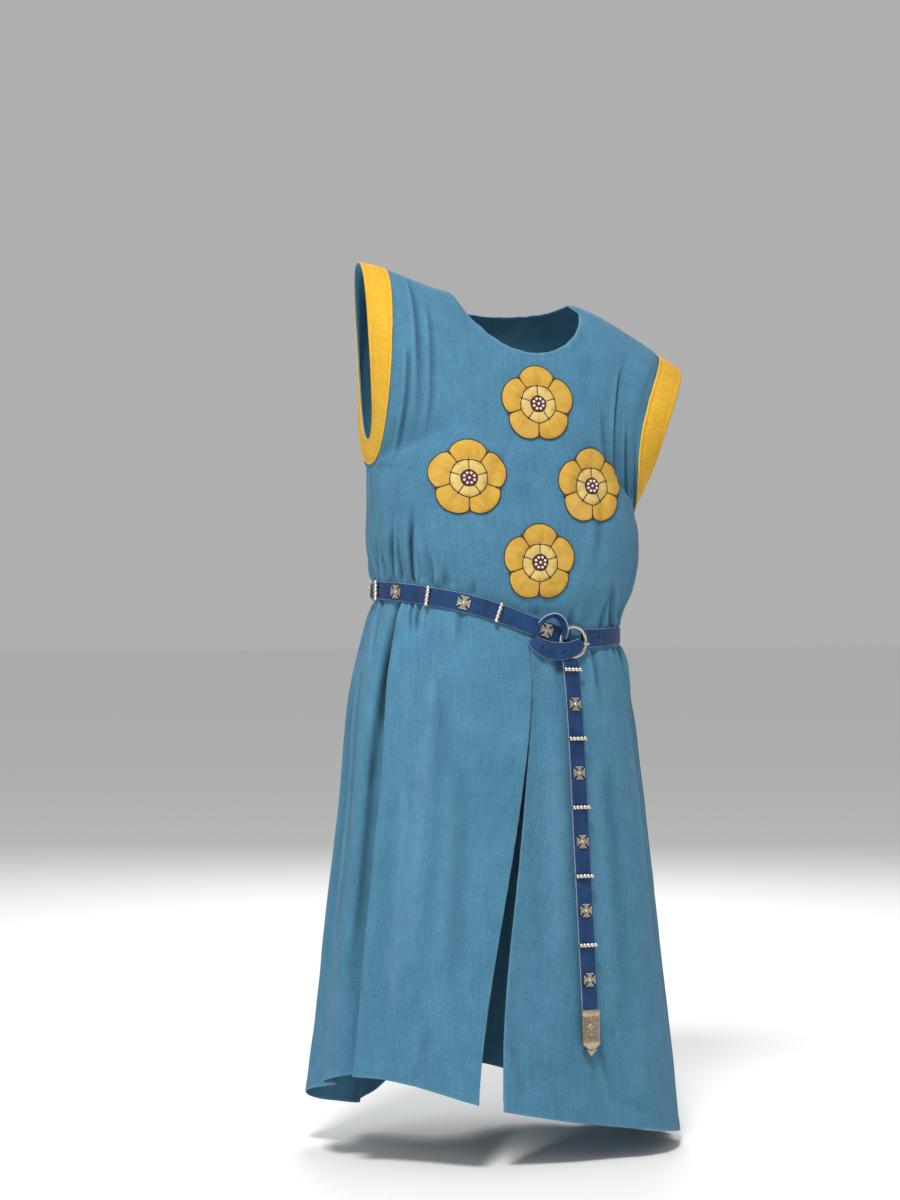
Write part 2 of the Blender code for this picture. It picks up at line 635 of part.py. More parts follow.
def front_point(share, height):
    """Point of the front panel, off its seams by half the seam gap."""
    base = RINGS[0].level
    angle = front_angle(share, height) if height <= base else share * math.pi / 2
    point = cloth_point(angle, height)
    if abs(share) > 1 - 1e-9 or (height - base > 1 - 1e-9 and abs(point.x) >= NECK_HALF_WIDTH):
        if height > base:
            hole = armhole("right" if share < 0 else "left", "border")
            if abs(share) > 1 - 1e-9:
                point = armhole_point(hole, math.acos(2 * (height - base) - 1))
        if abs(point.y) < 2 * SEAM_HALF_GAP or height <= base:
            point.y -= SEAM_HALF_GAP
    return point


def build_front():
    """Front panel: one sheet over the chest, two flaps from the belt down."""
    heights = panel_heights(FRONT_SKIRT_ROWS)
    shares = front_shares()
    slit_start = BELT_LEVEL - SLIT_TOP

    def flap_point(share, height, side):
        point = front_point(share, height)
        if height >= slit_start:
            return point
        near = max(0.0, 1 - abs(share) / SLIT_REACH)
        tangent = Vector((1, 0, 0))
        open_by = slit_gap(height) / 2 * near**2
        lap = SLIT_LAP * near**2 * ease((slit_start - height) / SLIT_GROWS_IN)
        lap *= 1 if side < 0 else LEFT_LAP_SHARE
        hang = LEFT_FLAP_DROP * near * ease((slit_start - height) / HEM_REACH) if side > 0 else 0
        return point + tangent * open_by * side + Vector((0, -lap, -hang))

    quads = []
    for upper, lower in zip(heights, heights[1:]):
        for left, right in zip(shares, shares[1:]):
            side = -1 if right <= 0 else 1
            quads.append(
                (
                    flap_point(left, upper, side),
                    flap_point(right, upper, side),
                    flap_point(right, lower, side),
                    flap_point(left, lower, side),
                )
            )
    quads += strip_quads(front=True)
    return sheet_object("front", quads, CLOTH_BLUE, lambda p: Vector((p.x, p.y, 0)), -WALL)


def back_point(share, height):
    """Point of the back panel; share runs from the wearer's right side seam to the left one."""
    base = RINGS[0].level
    angle = -math.pi / 2 - (share + 1) * math.pi / 2
    point = cloth_point(angle, height)
    at_edge = abs(share) > 1 - 1e-9
    if at_edge and height > base:
        hole = armhole("right" if share < 0 else "left", "border")
        point = armhole_point(hole, -math.acos(2 * (height - base) - 1))
    on_shoulder = height - base > 1 - 1e-9 and abs(point.x) >= NECK_HALF_WIDTH
    if (at_edge and height <= base) or ((at_edge or on_shoulder) and abs(point.y) < 2e-3):
        point.y += SEAM_HALF_GAP
    return point


def build_back():
    heights = panel_heights(BACK_SKIRT_ROWS)
    shares = [2 * n / BACK_STEPS - 1 for n in range(BACK_STEPS + 1)]
    quads = []
    for upper, lower in zip(heights, heights[1:]):
        for left, right in zip(shares, shares[1:]):
            quads.append(
                (
                    back_point(left, upper),
                    back_point(right, upper),
                    back_point(right, lower),
                    back_point(left, lower),
                )
            )
    quads += strip_quads(front=False)
    return sheet_object("back", quads, CLOTH_BLUE, lambda p: Vector((p.x, p.y, 0)), -WALL)


def strip_point(side, phi, share):
    border, edge = armhole(side, "border"), armhole(side, "edge")
    return armhole_point(border, phi).lerp(armhole_point(edge, phi), share)


def strip_normal(side, phi, share):
    step = 0.02
    along = strip_point(side, phi + step, share) - strip_point(side, phi - step, share)
    across = strip_point(side, phi, share + step) - strip_point(side, phi, share - step)
    normal = along.cross(across).normalized()
    return normal if normal.x * (-1 if side == "right" else 1) + normal.z * 0.3 > 0 else -normal


def build_armband(side):
    """Yellow border laid on the armhole's edge, front and back in one ring."""
    turns = 2 * YOKE_ROWS
    shares = [BAND_START, 0.5, 1.0]
    quads = []
    for n in range(turns):
        ends = []
        for m in (n, n + 1):
            phi = math.pi * (m % turns) / YOKE_ROWS
            phi = phi - 2 * math.pi if phi > math.pi + 1e-9 else phi
            row = []
            for share in shares:
                lift = strip_normal(side, phi, share) * BAND_GAP
                row.append(strip_point(side, phi, share) + lift)
            ends.append(row)
        for k in range(len(shares) - 1):
            quads.append((ends[0][k], ends[0][k + 1], ends[1][k + 1], ends[1][k]))
    sign = -1 if side == "right" else 1
    outward = Vector((sign, 0, 0.3))
    return sheet_object("armband_" + side, quads, BAND_YELLOW, lambda p: outward, BAND_WALL)


def rose_radius(turn):
    """Outline of a five-petalled rose."""
    petal = abs(math.cos(ROSE_PETALS * turn / 2))
    return ROSE_RADIUS * (1 - ROSE_NOTCH + ROSE_NOTCH * petal**0.6)


def build_rose(rose, chest):
    """Patch in the shape of a rose, lying on the front panel's outer face."""
    def lifted(across, up):
        before = Vector((rose.x + across, -1, rose.z + up))
        point, normal, _, _ = chest.ray_cast(before, Vector((0, 1, 0)))
        return point + normal * rose.lift

    centre = lifted(0, 0)
    rings = []
    for ring in range(1, ROSE_RINGS + 1):
        points = []
        for n in range(ROSE_POINTS):
            turn = 2 * math.pi * n / ROSE_POINTS
            radius = rose_radius(turn) * ring / ROSE_RINGS
            points.append(lifted(radius * math.sin(turn), radius * math.cos(turn)))
        rings.append(points)
    quads = []
    for n in range(ROSE_POINTS):
        after = (n + 1) % ROSE_POINTS
        quads.append((centre, rings[0][n], rings[0][after]))
        for inner, outer in zip(rings, rings[1:]):
            quads.append((inner[n], outer[n], outer[after], inner[after]))
    return sheet_object(rose.name, quads, ROSE_GOLD, lambda p: Vector((0, -1, 0)), PATCH_WALL)


def waist_frame(angle):
    """Point on the cloth's belt line, and the directions out, along and up the strap there."""
    ring = ring_at(BELT_LEVEL)
    point, normal = oval_point(ring, angle)
    ahead, _ = oval_point(ring, angle - 0.01)
    behind, _ = oval_point(ring, angle + 0.01)
    along = (ahead - behind).normalized()
    up = normal.cross(along).normalized()
    up = up if up.z > 0 else -up
    out = along.cross(up).normalized()
    return point, (out if out.dot(normal) > 0 else -out), along, up


def rectangle_loft(name, stations, finish):
    """Strap through stations of (middle, width direction, out direction, width, thickness)."""
    data = bmesh.new()
    loops = []
    for middle, wide, out, width, thick in stations:
        half, deep = wide * width / 2, out * thick / 2
        corners = (middle - half - deep, middle + half - deep, middle + half + deep,
                   middle - half + deep)
        loops.append([data.verts.new(corner) for corner in corners])
    for first, second in zip(loops, loops[1:]):
        for n in range(4):
            m = (n + 1) % 4
            data.faces.new((first[n], first[m], second[m], second[n]))
    data.faces.new(loops[0][::-1])
    data.faces.new(loops[-1])
    return add_object(name, data, finish)


def waist_angles():
    """Angles of the waist strap's stations: from the buckle round the wearer's right side and
    the back to the buckle's other side."""
    first, last = WAIST_START_DEG, WAIST_END_DEG - 360
    turn = (last - first) / WAIST_STATIONS
    return [math.radians(first + turn * n) for n in range(WAIST_STATIONS + 1)]


def build_waist_strap():
    stations = []
    for angle in waist_angles():
        point, out, _, up = waist_frame(angle)
        middle = point + out * (STRAP_STANDOFF + STRAP_THICK / 2)
        stations.append((middle, up, out, STRAP_WIDTH, STRAP_THICK))
    return rectangle_loft("belt_waist", stations, LEATHER_BLUE)


def waist_angle_at(distance):
    """Ring angle at a distance along the strap from the slit, positive to the wearer's right."""
    ring = ring_at(BELT_LEVEL)
    step = math.radians(0.5) * (1 if distance > 0 else -1)
    angle, gone = math.radians(-0.5), 0.0
    here, _ = oval_point(ring, angle)
    while gone < abs(distance):
        angle -= step
        there, _ = oval_point(ring, angle)
        gone += (there - here).length
        here = there
    return angle


def frame_matrix(middle, along, up, out):
    """Rows to place a fitting: its x along the strap, y across it and z out of it."""
    return lambda x, y, z: middle + along * x + up * y + out * z


def build_stud(name, middle, along, up, out):
    """Cross with four widening arms, riveted on the strap."""
    data = bmesh.new()
    half, neck, flare = STUD_SIZE / 2, STUD_NECK, STUD_SIZE * STUD_FLARE
    place = frame_matrix(middle, along, up, out)
    outline = []
    for quarter in range(4):
        turn = quarter * math.pi / 2
        for forward, aside in ((half, -flare), (half, flare), (neck, neck)):
            x = forward * math.cos(turn) - aside * math.sin(turn)
            y = forward * math.sin(turn) + aside * math.cos(turn)
            outline.append((x, y))
    low = [data.verts.new(place(x, y, 0)) for x, y in outline]
    high = [data.verts.new(place(x, y, STUD_THICK)) for x, y in outline]
    centre_low = data.verts.new(place(0, 0, 0))
    centre_high = data.verts.new(place(0, 0, STUD_THICK * STUD_RISE))
    for n in range(len(outline)):
        m = (n + 1) % len(outline)
        data.faces.new((low[n], low[m], high[m], high[n]))
        data.faces.new((centre_high, high[n], high[m]))
        data.faces.new((centre_low, low[m], low[n]))
    return add_object(name, data, OLD_SILVER)


def build_bar(name, middle, along, up, out):
    """Beaded bar across the strap: a row of five beads turned in one piece."""
    data = bmesh.new()
    sides = 6
    place = frame_matrix(middle, along, up, out)
    loops = []
    rings = 2 * BAR_BEADS + 1
    for n in range(rings):
        y = BAR_WIDTH * (n / (rings - 1) - 0.5)
        radius = BAR_RADIUS if n % 2 else BAR_WAIST
        loops.append([
            data.verts.new(
                place(
                    radius * math.cos(2 * math.pi * k / sides),
                    y,
                    BAR_RADIUS + radius * math.sin(2 * math.pi * k / sides),
                )
            )
            for k in range(sides)
        ])
    for first, second in zip(loops, loops[1:]):
        for k in range(sides):
            m = (k + 1) % sides
            data.faces.new((first[k], first[m], second[m], second[k]))
    data.faces.new(loops[0][::-1])
    data.faces.new(loops[-1])
    return add_object(name, data, OLD_SILVER)


def build_waist_fittings():
    """Bars and studs along the waist, and the two studs close to the buckle."""
    lift = STRAP_STANDOFF + STRAP_THICK + LAID_ON_GAP
    places = []
    for n in range(WAIST_BARS):
        places.append(("bar_waist_%d" % (n + 1), build_bar, 0.046 + FITTING_PITCH * n))
        places.append(("stud_waist_%d" % (n + 1), build_stud, 0.096 + FITTING_PITCH * n))
    places.append(("stud_buckle_1", build_stud, -0.026))
    for name, make, distance in places:
        point, out, along, up = waist_frame(waist_angle_at(distance))
        make(name, point + out * lift, along, up, out)


def knot_station(knot, path, index):
    """Station of the strap in the knot at the buckle."""
    ring = ring_at(BELT_LEVEL)

    def middle_of(spot):
        share = (spot.x - ring.centre_x) / ring.half_width
        angle = math.asin(signed_power(share, ring.round_front / 2))
        point, out, _, up = waist_frame(angle)
        return point + up * spot.rise + out * spot.out, out, up

    middle, out, up = middle_of(knot)
    before, _, _ = middle_of(path[max(index - 1, 0)])
    after, _, _ = middle_of(path[min(index + 1, len(path) - 1)])
    along = (after - before).normalized()
    flat = out.cross(along).normalized()
    turn = math.radians(knot.turn_deg)
    wide = (flat * math.cos(turn) + out * math.sin(turn)).normalized()
    face = along.cross(wide).normalized()
    return middle, wide, face, knot.width, STRAP_THICK


def finer_path(path, steps):
    """More stations on a smooth curve through a table's rows."""
    rows = []
    keys = list(range(len(path)))
    for n in range((len(path) - 1) * steps + 1):
        key = n / steps
        values = [curve_value(keys, [getattr(k, f) for k in path], key) for f in Knot._fields[1:]]
        rows.append(Knot("between", *values))
    return rows


def build_knot():
    for name, path in (("belt_return", RETURN_PATH), ("belt_loop", LOOP_PATH)):
        fine = finer_path(path, KNOT_STEPS)
        stations = [knot_station(knot, fine, n) for n, knot in enumerate(fine)]
        rectangle_loft(name, stations, LEATHER_BLUE)


def tail_frame(distance):
    """Point on the skirt under the hanging strap at a distance down it, and its directions."""
    ring = ring_at(BELT_LEVEL)
    share = (TAIL_TOP_X - ring.centre_x) / ring.half_width
    start, _, _, _ = waist_frame(math.asin(signed_power(share, ring.round_front / 2)))
    along = distance / TAIL_LENGTH
    x = TAIL_TOP_X + (TAIL_LOW_X - TAIL_TOP_X) * along
    z = start.z + TAIL_TOP_RISE - distance * TAIL_SLOPE
    point, normal = skirt_on_front(x, z)
    lower, _ = skirt_on_front(x, z - 0.02)
    down = (lower - point).normalized()
    side = down.cross(normal).normalized()
    out = side.cross(down).normalized()
    out = out if out.y < 0 else -out
    return point, out, down, side


def build_tail():
    stations = []
    body_length = TAIL_LENGTH - STRAP_END_BODY - STRAP_END_TIP
    for n in range(TAIL_STATIONS + 1):
        point, out, _, side = tail_frame(body_length * n / TAIL_STATIONS)
        middle = point + out * (TAIL_STANDOFF + STRAP_THICK / 2)
        stations.append((middle, side, out, STRAP_WIDTH, STRAP_THICK))
    rectangle_loft("belt_tail", stations, LEATHER_BLUE)
    lift = TAIL_STANDOFF + STRAP_THICK + LAID_ON_GAP
    for n in range(TAIL_BARS):
        for name, make, distance in (
            ("bar_tail_%d" % (n + 1), build_bar, TAIL_FIRST_BAR + TAIL_PITCH * n),
            ("stud_tail_%d" % (n + 1), build_stud, TAIL_FIRST_BAR + TAIL_PITCH * (n + 0.5)),
        ):
            point, out, down, side = tail_frame(distance)
            make(name, point + out * lift, down, side, out)
    build_strap_end(body_length)


def build_strap_end(start):
    """Metal end of the strap: a flat case with a pointed tip."""
    point, out, down, side = tail_frame(start + LAID_ON_GAP)
    middle = point + out * (TAIL_STANDOFF + STRAP_THICK / 2)
    place = frame_matrix(middle, down, side, out)
    half, thick = STRAP_END_WIDTH / 2, STRAP_END_THICK / 2
    outline = [
        (0, -half),
        (STRAP_END_BODY, -half),
        (STRAP_END_BODY + STRAP_END_SHOULDER, -half * STRAP_END_NARROW),
        (STRAP_END_BODY + STRAP_END_TIP, 0),
        (STRAP_END_BODY + STRAP_END_SHOULDER, half * STRAP_END_NARROW),
        (STRAP_END_BODY, half),
        (0, half),
    ]
    data = bmesh.new()
    low = [data.verts.new(place(x, y, -thick)) for x, y in outline]
    high = [data.verts.new(place(x, y, thick)) for x, y in outline]
    data.faces.new(high)
    data.faces.new(low[::-1])
    for n in range(len(outline)):
        m = (n + 1) % len(outline)
        data.faces.new((low[n], low[m], high[m], high[n]))
    return add_object("strap_end", data, OLD_BRONZE)


def build_buckle():
    """Round buckle with its tongue lying over the outer rim."""
    ring = ring_at(BELT_LEVEL)
    share = (BUCKLE_X - ring.centre_x) / ring.half_width
    point, out, along, up = waist_frame(math.asin(signed_power(share, ring.round_front / 2)))
    lift = STRAP_STANDOFF + STRAP_THICK + BUCKLE_WIRE + 2 * LAID_ON_GAP
    middle = point + out * lift - up * BUCKLE_DROP
    data = bmesh.new()
    around, sides = 30, 6
    place = frame_matrix(middle, along, up, out)
    loops = []
    for n in range(around):
        turn = 2 * math.pi * n / around
        loop = []
        for k in range(sides):
            tilt = 2 * math.pi * k / sides
            radius = BUCKLE_RADIUS + BUCKLE_WIRE * math.cos(tilt)
            loop.append(data.verts.new(place(
                radius * math.cos(turn), radius * math.sin(turn), BUCKLE_WIRE * math.sin(tilt)
            )))
        loops.append(loop)
    for n in range(around):
        first, second = loops[n], loops[(n + 1) % around]
        for k in range(sides):
            m = (k + 1) % sides
            data.faces.new((first[k], first[m], second[m], second[k]))
    add_object("buckle_ring", data, OLD_SILVER)

    tongue = bmesh.new()
    rows = []
    for reach, height, half in TONGUE_ROWS:
        rows.append([
            tongue.verts.new(place(-reach, aside, height + rise))
            for aside, rise in (
                (-half, -TONGUE_HALF), (half, -TONGUE_HALF), (half, TONGUE_HALF), (-half, TONGUE_HALF)
            )
        ])
    for first, second in zip(rows, rows[1:]):
        for k in range(4):
            m = (k + 1) % 4
            tongue.faces.new((first[k], first[m], second[m], second[k]))
    tongue.faces.new(rows[0][::-1])
    tongue.faces.new(rows[-1])
    add_object("buckle_tongue", tongue, OLD_SILVER)


def main():
    for old in list(bpy.data.objects):
        bpy.data.objects.remove(old)
    collection = bpy.data.collections.new(COLLECTION)
    bpy.context.scene.collection.children.link(collection)
    front = build_front()
    build_back()
    for side in ("right", "left"):
        build_armband(side)
    corners = [vertex.co for vertex in front.data.vertices]
    chest = BVHTree.FromPolygons(corners, [face.vertices for face in front.data.polygons])
    for rose in ROSES:
        build_rose(rose, chest)
    build_waist_strap()
    build_waist_fittings()
    build_knot()
    build_buckle()
    build_tail()


main()
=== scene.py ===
"""Medieval surcoat with its own belt: the looks, laid out as an add-on and run as a script.

Metres, +Z up. The front of the garment faces -Y, and +X is the wearer's left. The origin is
the middle of the neck opening at shoulder height. The cloth follows the same surface as the
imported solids, and gets its turned edges, creases, puckers and stitches here.
"""

import math
from collections import namedtuple
from functools import lru_cache

import bmesh
import bpy
from bpy.props import FloatProperty, FloatVectorProperty, IntProperty, PointerProperty
from mathutils import Matrix, Vector, noise
from mathutils.bvhtree import BVHTree


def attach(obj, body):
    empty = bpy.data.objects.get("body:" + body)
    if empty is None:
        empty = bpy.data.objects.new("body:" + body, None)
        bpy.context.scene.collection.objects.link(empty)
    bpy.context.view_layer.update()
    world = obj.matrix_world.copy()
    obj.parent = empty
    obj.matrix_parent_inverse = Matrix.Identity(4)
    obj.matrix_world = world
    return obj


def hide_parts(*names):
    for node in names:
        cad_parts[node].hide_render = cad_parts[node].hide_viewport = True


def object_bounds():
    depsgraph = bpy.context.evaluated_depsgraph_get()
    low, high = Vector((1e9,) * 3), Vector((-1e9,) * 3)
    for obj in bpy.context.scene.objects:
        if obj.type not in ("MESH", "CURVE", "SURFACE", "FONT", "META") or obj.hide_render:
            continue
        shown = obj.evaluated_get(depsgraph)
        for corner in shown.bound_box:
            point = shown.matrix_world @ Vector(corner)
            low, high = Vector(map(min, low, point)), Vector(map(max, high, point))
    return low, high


bl_info = {
    "name": "Medieval Surcoat",
    "version": (1, 0, 0),
    "blender": (4, 5, 0),
    "location": "View3D > Sidebar > Surcoat",
    "description": "Makes a belted medieval surcoat, hollow as worn",
    "category": "Add Mesh",
}

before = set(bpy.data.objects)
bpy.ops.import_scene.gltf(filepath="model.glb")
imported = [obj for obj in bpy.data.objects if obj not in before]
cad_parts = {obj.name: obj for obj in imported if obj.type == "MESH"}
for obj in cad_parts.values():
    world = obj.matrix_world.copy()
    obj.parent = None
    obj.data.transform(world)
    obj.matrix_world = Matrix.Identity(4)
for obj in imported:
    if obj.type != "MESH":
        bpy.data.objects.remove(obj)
CAD_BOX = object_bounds()

SEAM_HALF_GAP = 0.00016
LAID_ON_GAP = 0.0003
BAND_START = 0.08

# Rings of the garment below the armholes, from the top down. level is the height at the
# axis, tilt the drop per metre towards the wearer's left, belt_dip how far the belt line sags
# in front, and round_front and round_back the powers of the oval's two halves.
Ring = namedtuple("Ring", "name level centre_x half_width front back tilt belt_dip round_front round_back")
RINGS = [Ring(*row) for row in (
    ("underarm", -0.2797, -0.008, 0.1940, 0.140, 0.126, 0.1847, 0.000, 2.8, 2.3),
    ("chest", -0.3400, -0.007, 0.1950, 0.143, 0.124, 0.1840, 0.004, 2.6, 2.4),
    ("blouse", -0.3850, -0.011, 0.1890, 0.144, 0.128, 0.1800, 0.014, 2.5, 2.4),
    ("over_belt", -0.4150, -0.014, 0.1800, 0.139, 0.130, 0.1760, 0.022, 2.3, 2.3),
    ("belt_top", -0.4350, -0.014, 0.1762, 0.132, 0.126, 0.1735, 0.024, 2.3, 2.3),
    ("belt", -0.4495, -0.014, 0.1760, 0.132, 0.126, 0.1735, 0.024, 2.3, 2.3),
    ("belt_low", -0.4640, -0.014, 0.1762, 0.132, 0.126, 0.1735, 0.024, 2.3, 2.3),
    ("under_belt", -0.4900, -0.014, 0.1850, 0.137, 0.133, 0.1730, 0.022, 2.3, 2.3),
    ("hip", -0.5785, -0.013, 0.2045, 0.150, 0.152, 0.1740, 0.012, 2.2, 2.2),
    ("thigh", -0.7715, -0.010, 0.2245, 0.165, 0.166, 0.1850, 0.000, 2.2, 2.2),
    ("knee", -0.9645, -0.010, 0.2470, 0.182, 0.184, 0.2050, 0.000, 2.2, 2.2),
    ("hem", -1.1360, -0.0095, 0.2655, 0.196, 0.200, 0.2200, 0.000, 2.2, 2.2),
)]
BELT_LEVEL = -0.4495
DIP_CENTRE_X = 0.045
DIP_REACH_X = 0.1025
BELT_TILT = 0.17

# How much lower than the hem ring's plane the hem hangs, by angle from the front centre
Hang = namedtuple("Hang", "name angle drop")
HEM_LINE = [Hang(*row) for row in (
    ("back_from_right", -180, -0.022),
    ("back_near_right", -170, -0.012),
    ("back_right", -155, 0.050),
    ("right_behind", -130, 0.066),
    ("right_corner", -110, 0.044),
    ("right_seam", -90, 0.028),
    ("front_right", -62, 0.000),
    ("front", 0, 0.000),
    ("front_left", 62, 0.000),
    ("left_seam", 90, 0.008),
    ("left_behind", 116, 0.016),
    ("back_left", 150, -0.008),
    ("back_near_left", 168, -0.020),
    ("back_from_left", 180, -0.022),
)]
LEFT_FLAP_DROP = 0.012
HEM_REACH = 0.45

# Shoulder line from the raised right tip to the left tip
Spot = namedtuple("Spot", "name x z")
SHOULDER_LINE = [Spot(*row) for row in (
    ("right_tip", -0.222, 0.0430),
    ("right_border", -0.183, 0.0350),
    ("right_neck", -0.095, 0.0080),
    ("left_neck", 0.095, -0.0060),
    ("left_middle", 0.184, -0.0460),
    ("left_border", 0.2270, -0.0720),
    ("left_tip", 0.263, -0.0930),
)]
NECK_HALF_WIDTH = 0.095
NECK_DROP_FRONT = 0.088
NECK_DROP_BACK = 0.022
NECK_CORNER = 0.60
SHOULDER_ROUNDING = 0.24
SHOULDER_POWER = 2.2
YOKE_BLEND = 0.40
SIDE_HASTE = 0.86
HOLD_POWER = 4.0
YOKE_POWER = 2.0
YOKE_TAPER = 0.72
YOKE_TRAVEL = 0.25

# Armholes: the free edge of each, and the inner border of its band
Armhole = namedtuple("Armhole", "side line top_x top_z front_x back_x low_x low_z front_reach back_reach")
ARMHOLES = [
    Armhole("right", "border", -0.1830, 0.0350, -0.1990, -0.188, -0.2020, -0.2424, 0.090, 0.088),
    Armhole("right", "edge", -0.2220, 0.0430, -0.2210, -0.206, -0.2060, -0.2040, 0.051, 0.046),
    Armhole("left", "border", 0.2270, -0.0720, 0.1620, 0.176, 0.1920, -0.3152, 0.107, 0.098),
    Armhole("left", "edge", 0.2630, -0.0930, 0.2120, 0.214, 0.1990, -0.2740, 0.093, 0.078),
]

# Folds of the cloth. Angles run round the ring from the front centre, positive to the wearer's
# left; start and full are distances below the belt line (negative above it) between which the
# fold grows from nothing to its whole depth; end_depth is its depth at the far edge. lean pulls
# the cloth sideways over the fold, so that it overhangs.
Fold = namedtuple("Fold", "name angle end_angle width end_width start full depth end_depth lean")
SKIRT_FOLDS = [Fold(*row) for row in (
    ("overlap_ridge", -62, -60, 4.5, 5.0, 0.00, 0.08, 0.006, 0.016, -3.0),
    ("overlap_valley", -69, -67, 3.6, 4.0, -0.01, 0.06, -0.012, -0.034, 2.0),
    ("side_roll", -82, -80, 7.0, 7.0, 0.00, 0.12, 0.005, 0.010, 0.0),
    ("gather_a", -54, -50, 3.6, 7.0, 0.00, 0.03, 0.0035, 0.000, 0.0),
    ("gather_b", -47, -42, 3.0, 8.0, 0.00, 0.03, -0.0035, 0.000, 0.0),
    ("gather_c", -41, -36, 3.0, 8.0, 0.00, 0.03, 0.0030, 0.000, 0.0),
    ("long_hollow", -36, -34, 7.0, 11.0, 0.05, 0.30, -0.005, -0.007, 0.0),
    ("flap_swell", -18, -22, 12.0, 14.0, 0.02, 0.40, 0.003, 0.008, 0.0),
    ("tail_hollow", 22, 16, 9.0, 12.0, 0.02, 0.20, -0.005, -0.006, 0.0),
    ("left_swell", 44, 40, 13.0, 14.0, 0.02, 0.25, 0.005, 0.008, 0.0),
    ("left_pinch", 64, 66, 4.0, 5.0, -0.01, 0.02, -0.008, -0.002, 0.0),
    ("seam_crease", 80, 82, 3.6, 4.5, 0.05, 0.30, -0.004, -0.011, 0.0),
    ("back_right_valley", -104, -104, 6.0, 8.0, -0.01, 0.08, -0.0120, -0.0330, 0.0),
    ("back_right_swell", -120, -120, 8.0, 12.0, 0.00, 0.15, 0.0075, 0.0210, 0.0),
    ("back_crease_a", -136, -138, 5.0, 9.0, -0.01, 0.06, -0.0090, -0.0270, 0.0),
    ("back_middle_swell", -158, -158, 10.0, 13.0, 0.00, 0.20, 0.0060, 0.0180, 0.0),
    ("back_crease_b", 178, 180, 5.0, 8.0, -0.01, 0.06, -0.0090, -0.0240, 0.0),
    ("back_left_swell", 158, 160, 8.0, 12.0, 0.00, 0.20, 0.0060, 0.0165, 0.0),
    ("back_crease_c", 140, 138, 5.0, 8.0, -0.01, 0.07, -0.0090, -0.0255, 0.0),
    ("back_left_roll", 120, 118, 8.0, 11.0, 0.00, 0.14, 0.0075, 0.0180, 0.0),
    ("back_left_valley", 103, 102, 5.0, 6.0, -0.01, 0.08, -0.0090, -0.0240, 0.0),
)]
BODICE_FOLDS = [Fold(*row) for row in (
    ("gather_1", -82, -84, 3.6, 6.0, 0.16, 0.03, -0.0055, 0.0, 0.0),
    ("gather_2", -74, -77, 3.2, 6.0, 0.15, 0.03, 0.0045, 0.0, 0.0),
    ("gather_3", -66, -68, 3.0, 5.5, 0.17, 0.03, -0.0060, 0.0, 0.0),
    ("gather_4", -58, -60, 3.0, 5.5, 0.14, 0.03, 0.0045, 0.0, 0.0),
    ("gather_5", -51, -52, 3.0, 5.0, 0.15, 0.03, -0.0055, 0.0, 0.0),
    ("gather_6", -43, -43, 3.0, 5.0, 0.11, 0.03, 0.0040, 0.0, 0.0),
    ("gather_7", -35, -34, 3.4, 5.0, 0.10, 0.03, -0.0040, 0.0, 0.0),
    ("gather_8", -14, -12, 3.6, 6.0, 0.09, 0.02, -0.0025, 0.0, 0.0),
    ("gather_9", 8, 8, 3.6, 6.0, 0.09, 0.02, -0.0025, 0.0, 0.0),
    ("gather_10", 30, 28, 3.6, 6.0, 0.09, 0.02, -0.0030, 0.0, 0.0),
    ("gather_11", 62, 60, 4.0, 5.5, 0.20, 0.03, -0.0070, 0.0, 0.0),
    ("gather_12", 72, 71, 4.0, 6.0, 0.16, 0.03, 0.0040, 0.0, 0.0),
    ("gather_13", 84, 84, 3.6, 6.0, 0.14, 0.03, -0.0040, 0.0, 0.0),
    ("back_gather_1", -100, -100, 4.2, 7.0, 0.16, 0.03, -0.0060, 0.0, 0.0),
    ("back_gather_2", -112, -111, 4.2, 7.0, 0.14, 0.03, 0.0045, 0.0, 0.0),
    ("back_gather_3", -124, -122, 4.2, 7.0, 0.16, 0.03, -0.0060, 0.0, 0.0),
    ("back_gather_4", -146, -145, 4.6, 7.0, 0.12, 0.03, -0.0050, 0.0, 0.0),
    ("back_gather_5", -168, -168, 4.6, 7.0, 0.14, 0.03, -0.0055, 0.0, 0.0),
    ("back_gather_6", 168, 168, 4.6, 7.0, 0.12, 0.03, 0.0040, 0.0, 0.0),
    ("back_gather_7", 150, 150, 4.6, 7.0, 0.15, 0.03, -0.0055, 0.0, 0.0),
    ("back_gather_8", 126, 126, 4.6, 7.0, 0.13, 0.03, -0.0055, 0.0, 0.0),
    ("back_gather_9", 112, 112, 4.2, 7.0, 0.13, 0.03, 0.0040, 0.0, 0.0),
    ("back_gather_10", 99, 99, 4.2, 7.0, 0.16, 0.03, -0.0055, 0.0, 0.0),
)]
# Two long soft folds of the yoke: beside the left armhole, and down the chest
LEFT_CREASE_DEG = 66
LEFT_CREASE_WIDTH = 9
LEFT_CREASE_DEPTH = 0.004
CHEST_DRAPE_DEG = -20
CHEST_DRAPE_WIDTH = 34
CHEST_DRAPE_DEPTH = 0.003
FOLD_CLEAR_OF_BELT = 0.0012
FLAT_UNDER_BELT = 0.020

# Front slit: from just under the belt to the hem, drifting to the wearer's right
SLIT_TOP = 0.030
SLIT_DRIFT_DEG = -16.5
SLIT_HEM_GAP = 0.039
SLIT_TOP_GAP = 0.0007
SLIT_LAP = 0.005
LEFT_LAP_SHARE = -0.6
SLIT_REACH = 0.5
SLIT_GROWS_IN = 0.05

